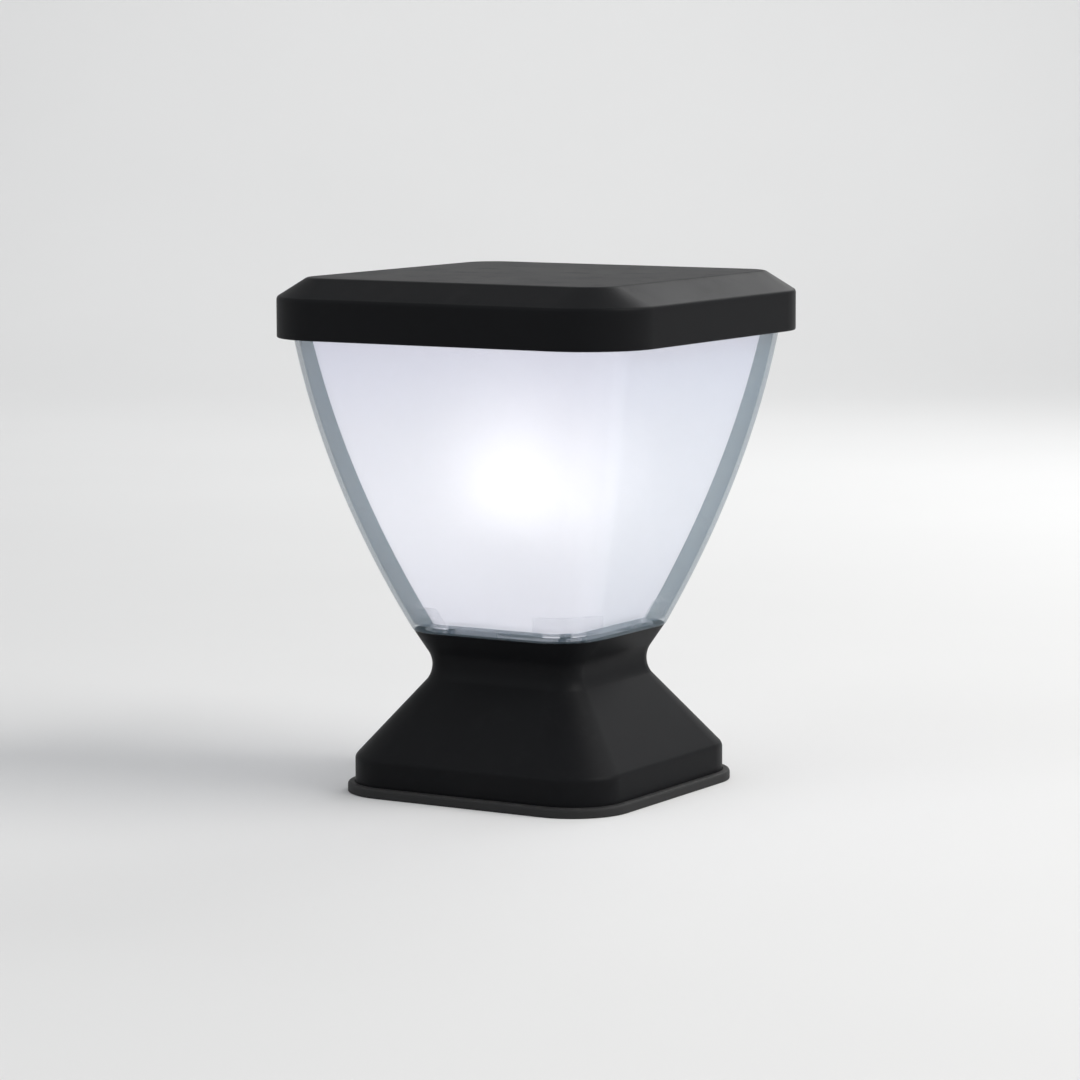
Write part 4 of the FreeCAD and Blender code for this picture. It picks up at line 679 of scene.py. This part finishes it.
def make_base():
    bm = bmesh.new()
    neck = [waist(share / NECK_STEPS) for share in range(-NECK_STEPS, NECK_STEPS + 1)]
    dish = [waist(share / NECK_STEPS, BASE_WALL) for share in range(NECK_STEPS, 1, -1)]
    plinth_inside = (PLINTH_HALF - BASE_WALL, PLINTH_CORNER - BASE_WALL)
    collar_inside = (COLLAR_HALF - BASE_WALL, COLLAR_CORNER - BASE_WALL)
    ledge = [side - LEDGE_WIDE for side in collar_inside]
    deck = (NECK_HALF - BASE_WALL, NECK_CORNER - BASE_WALL)
    sweep(bm, [
        (PLINTH_HALF, PLINTH_CORNER, PLINTH_LOW, 0.3),
        (PLINTH_HALF, PLINTH_CORNER, PLINTH_TOP, 1.6),
        *neck, (COLLAR_HALF, COLLAR_CORNER, COLLAR, 0.5),
        (*collar_inside, COLLAR), (*collar_inside, COLLAR - LEDGE_DEEP),
        (*ledge, COLLAR - LEDGE_DEEP), *dish, (*deck, NECK),
        (LEAD_OPENING, LEAD_OPENING, NECK), (LEAD_OPENING, LEAD_OPENING, DECK_LOW),
        (*deck, DECK_LOW), waist(-1, BASE_WALL),
        (*plinth_inside, PLINTH_TOP), (*plinth_inside, PLINTH_LOW),
    ])
    for post in POSTS:
        tube(bm, post, SCREW_BORE, POST_RADIUS, NECK, COLLAR)
    for x in (-BOSS_PLACE, BOSS_PLACE):
        tube(bm, (x, 0.0), SCREW_BORE, BOSS_RADIUS, BOSS_LOW, DECK_LOW)
    return dress(finish_mesh(bm, "Base_shell"), "base_shell", "base", "black_plastic")


make_base()

# %% [markdown]
# The foot is a rubber channel: a rounded bead outside, a groove that takes the plinth, and
# a lip inside. It is what shows as a dark line where the light meets the pillar.

# %% Foot gasket
LIP_INSIDE, GROOVE_INSIDE, GROOVE_OUTSIDE, BEAD_OUTSIDE = 67.25, 69.05, 71.85, 75.4
BEAD_TOP = 4.7


def make_foot():
    bm = bmesh.new()
    straight = PLINTH_HALF - PLINTH_CORNER
    outline = [
        (LIP_INSIDE, 0.0), (BEAD_OUTSIDE, 0.0, 0.5), (BEAD_OUTSIDE, BEAD_TOP, 1.9),
        (GROOVE_OUTSIDE, BEAD_TOP, 0.4), (GROOVE_OUTSIDE, PLINTH_LOW),
        (GROOVE_INSIDE, PLINTH_LOW), (GROOVE_INSIDE, BEAD_TOP, 0.3), (LIP_INSIDE, BEAD_TOP, 0.3),
    ]
    sweep(bm, [(half, half - straight, *rest) for half, *rest in outline])
    return dress(finish_mesh(bm, "Foot_gasket"), "foot_gasket", "base", "black_rubber")


make_foot()

# %% [markdown]
# The two bowed shells share their helpers. A bowed wall is an outline with many levels, so
# the bow stays smooth. Feet, slots and blocks are curved bars in a corner, between two arcs.
# Slots and holes are cut with a Boolean modifier, and the result is kept as the mesh. Posts
# and feet are then added as closed bars of the same mesh.

# %% Helpers for the bowed shells
WALL_STEPS, BAR_STEPS = 28, 14


def wall(half_at, inset, corner, low, high, downwards=False):
    """The wall's levels, as outline points."""
    levels = [low + (high - low) * i / WALL_STEPS for i in range(WALL_STEPS + 1)]
    rows = [(half_at(level) - inset, corner - inset, level) for level in levels]
    return rows[::-1] if downwards else rows


def corner_bar(bm, quarter, inner_at, outer, outer_centre, levels, start=0.0, end=90.0):
    """A curved bar in one corner, between an inner arc that may change with level and an
    outer arc. inner_at gives (radius, centre) at a level."""
    turn = Matrix.Rotation(math.pi / 2 * quarter, 2)
    angles = [math.radians(start + (end - start) * i / BAR_STEPS) for i in range(BAR_STEPS + 1)]
    rows = []
    for level in levels:
        inner, inner_centre = inner_at(level)
        row = []
        for radius, centre, order in ((inner, inner_centre, 1), (outer, outer_centre, -1)):
            for angle in angles[::order]:
                point = turn @ Vector((centre + radius * math.cos(angle),
                                       centre + radius * math.sin(angle)))
                row.append(bm.verts.new((point.x * MM, point.y * MM, level * MM)))
        rows.append(row)
    for low, high in zip(rows, rows[1:]):
        for i in range(len(low)):
            j = (i + 1) % len(low)
            bm.faces.new((low[i], low[j], high[j], high[i]))
    bm.faces.new(list(reversed(rows[0])))
    bm.faces.new(rows[-1])


def cut_away(piece, cutter):
    """Takes the cutter out of the piece and keeps the result as the piece's mesh."""
    step = piece.modifiers.new("Cut", "BOOLEAN")
    step.operation = "DIFFERENCE"
    step.solver = "EXACT"
    step.object = cutter
    graph = bpy.context.evaluated_depsgraph_get()
    mesh = bpy.data.meshes.new_from_object(piece.evaluated_get(graph))
    piece.modifiers.remove(step)
    piece.data = mesh
    bpy.data.objects.remove(cutter)
    shade_faces(mesh)


def add_to(piece, build):
    """Adds to the piece's mesh what build makes in it."""
    bm = bmesh.new()
    bm.from_mesh(piece.data)
    build(bm)
    bm.to_mesh(piece.data)
    bm.free()
    shade_faces(piece.data)


print("a bowed wall has", len(wall(shade_half, 0.0, SHADE_CORNER, COLLAR, RIM)), "levels")

# %% [markdown]
# The clear shade has a wall, a soft rim and a floor with a round opening for the
# lampholder. Four slots in the floor take the diffuser's feet, and four short posts take the
# screws from below.

# %% Clear shade
FOOT_CENTRE, SLOT_INNER, SLOT_OUTER, SLOT_DEEP = 26.7, 12.7, 15.3, 2.3
FOOT_ROUND, RIM_ROUND, POST_HEIGHT, PAST = 1.5, 0.8, 8.0, 1.0


def shade_posts(bm):
    for post in POSTS:
        tube(bm, post, SCREW_BORE, POST_RADIUS, FLOOR_TOP, FLOOR_TOP + POST_HEIGHT)


def make_shade():
    bm = bmesh.new()
    sweep(bm, [
        (shade_half(COLLAR), SHADE_CORNER, COLLAR, 0.5),
        *wall(shade_half, 0.0, SHADE_CORNER, COLLAR + FOOT_ROUND, RIM - RIM_ROUND),
        (shade_half(RIM), SHADE_CORNER, RIM, 0.6),
        (shade_half(RIM) - SHADE_WALL, SHADE_CORNER - SHADE_WALL, RIM, 0.6),
        *wall(shade_half, SHADE_WALL, SHADE_CORNER, FLOOR_TOP, RIM - RIM_ROUND, downwards=True),
        (OPENING, OPENING, FLOOR_TOP), (OPENING, OPENING, COLLAR),
    ])
    shade = finish_mesh(bm, "Outer_shade")
    slots = bmesh.new()
    for quarter in range(4):
        corner_bar(slots, quarter, lambda level: (SLOT_INNER, FOOT_CENTRE), SLOT_OUTER,
                   FOOT_CENTRE, (FLOOR_TOP - SLOT_DEEP, FLOOR_TOP + PAST))
    cut_away(shade, finish_mesh(slots, "Slots"))
    add_to(shade, shade_posts)
    return dress(shade, "outer_shade", "base", "clear_plastic")


make_shade()

# %% [markdown]
# Four curved blocks stand on the shade's floor and centre the diffuser. They are one
# moulding with the shade, but solid, so they are made as a piece of their own with a clearer
# finish. Their inner faces follow the diffuser's bowed corner.

# %% Corner blocks
BLOCK_INNER, BLOCK_OUTER, BLOCK_HEIGHT, BLOCK_STEPS = 15.3, 24.3, 8.4, 6


def make_blocks():
    bm = bmesh.new()
    levels = [FLOOR_TOP + BLOCK_HEIGHT * i / BLOCK_STEPS for i in range(BLOCK_STEPS + 1)]
    for quarter in range(4):
        corner_bar(bm, quarter, lambda level: (BLOCK_INNER, diffuser_half(level) - DIFFUSER_CORNER),
                   BLOCK_OUTER, FOOT_CENTRE, levels)
    blocks = finish_mesh(bm, "Corner_blocks")
    blocks.data.materials.append(finishes["clear_block"])
    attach(blocks, "base")
    return blocks


blocks = make_blocks()
print(blocks.name, len(blocks.data.polygons), "faces")

# %% [markdown]
# The opal diffuser is a thinner bowed shell of its own, with no rim above the shade's. Its
# floor has holes that the posts come through, and each corner stands on a curved foot with
# a notch in the middle.

# %% Diffuser
POST_HOLE, FOOT_INNER, FOOT_OUTER, FOOT_DEEP = 4.3, 13.0, 15.0, 2.0
FOOT_SPANS = ((0.0, 32.7), (57.3, 90.0))


def diffuser_feet(bm):
    for quarter in range(4):
        for start, end in FOOT_SPANS:
            corner_bar(bm, quarter, lambda level: (FOOT_INNER, FOOT_CENTRE), FOOT_OUTER,
                       FOOT_CENTRE, (FLOOR_TOP - FOOT_DEEP, FLOOR_TOP), start, end)


def make_diffuser():
    bm = bmesh.new()
    inside = FLOOR_TOP + DIFFUSER_WALL
    rim_half = diffuser_half(DIFFUSER_RIM)
    sweep(bm, [
        (diffuser_half(FLOOR_TOP), DIFFUSER_CORNER, FLOOR_TOP, 0.6),
        *wall(diffuser_half, 0.0, DIFFUSER_CORNER, FLOOR_TOP + FOOT_ROUND,
              DIFFUSER_RIM - RIM_ROUND),
        (rim_half, DIFFUSER_CORNER, DIFFUSER_RIM, 0.5),
        (rim_half - DIFFUSER_WALL, DIFFUSER_CORNER - DIFFUSER_WALL, DIFFUSER_RIM, 0.5),
        *wall(diffuser_half, DIFFUSER_WALL, DIFFUSER_CORNER, inside, DIFFUSER_RIM - RIM_ROUND,
              downwards=True),
        (OPENING, OPENING, inside), (OPENING, OPENING, FLOOR_TOP),
    ])
    diffuser = finish_mesh(bm, "Diffuser")
    holes = bmesh.new()
    for post in POSTS:
        sweep(holes, [(POST_HOLE, POST_HOLE, FLOOR_TOP - PAST),
                      (POST_HOLE, POST_HOLE, inside + 2 * PAST)], closed=False, centre=post)
    cut_away(diffuser, finish_mesh(holes, "Holes"))
    add_to(diffuser, diffuser_feet)
    return dress(diffuser, "diffuser", "base", "opal_plastic")


make_diffuser()
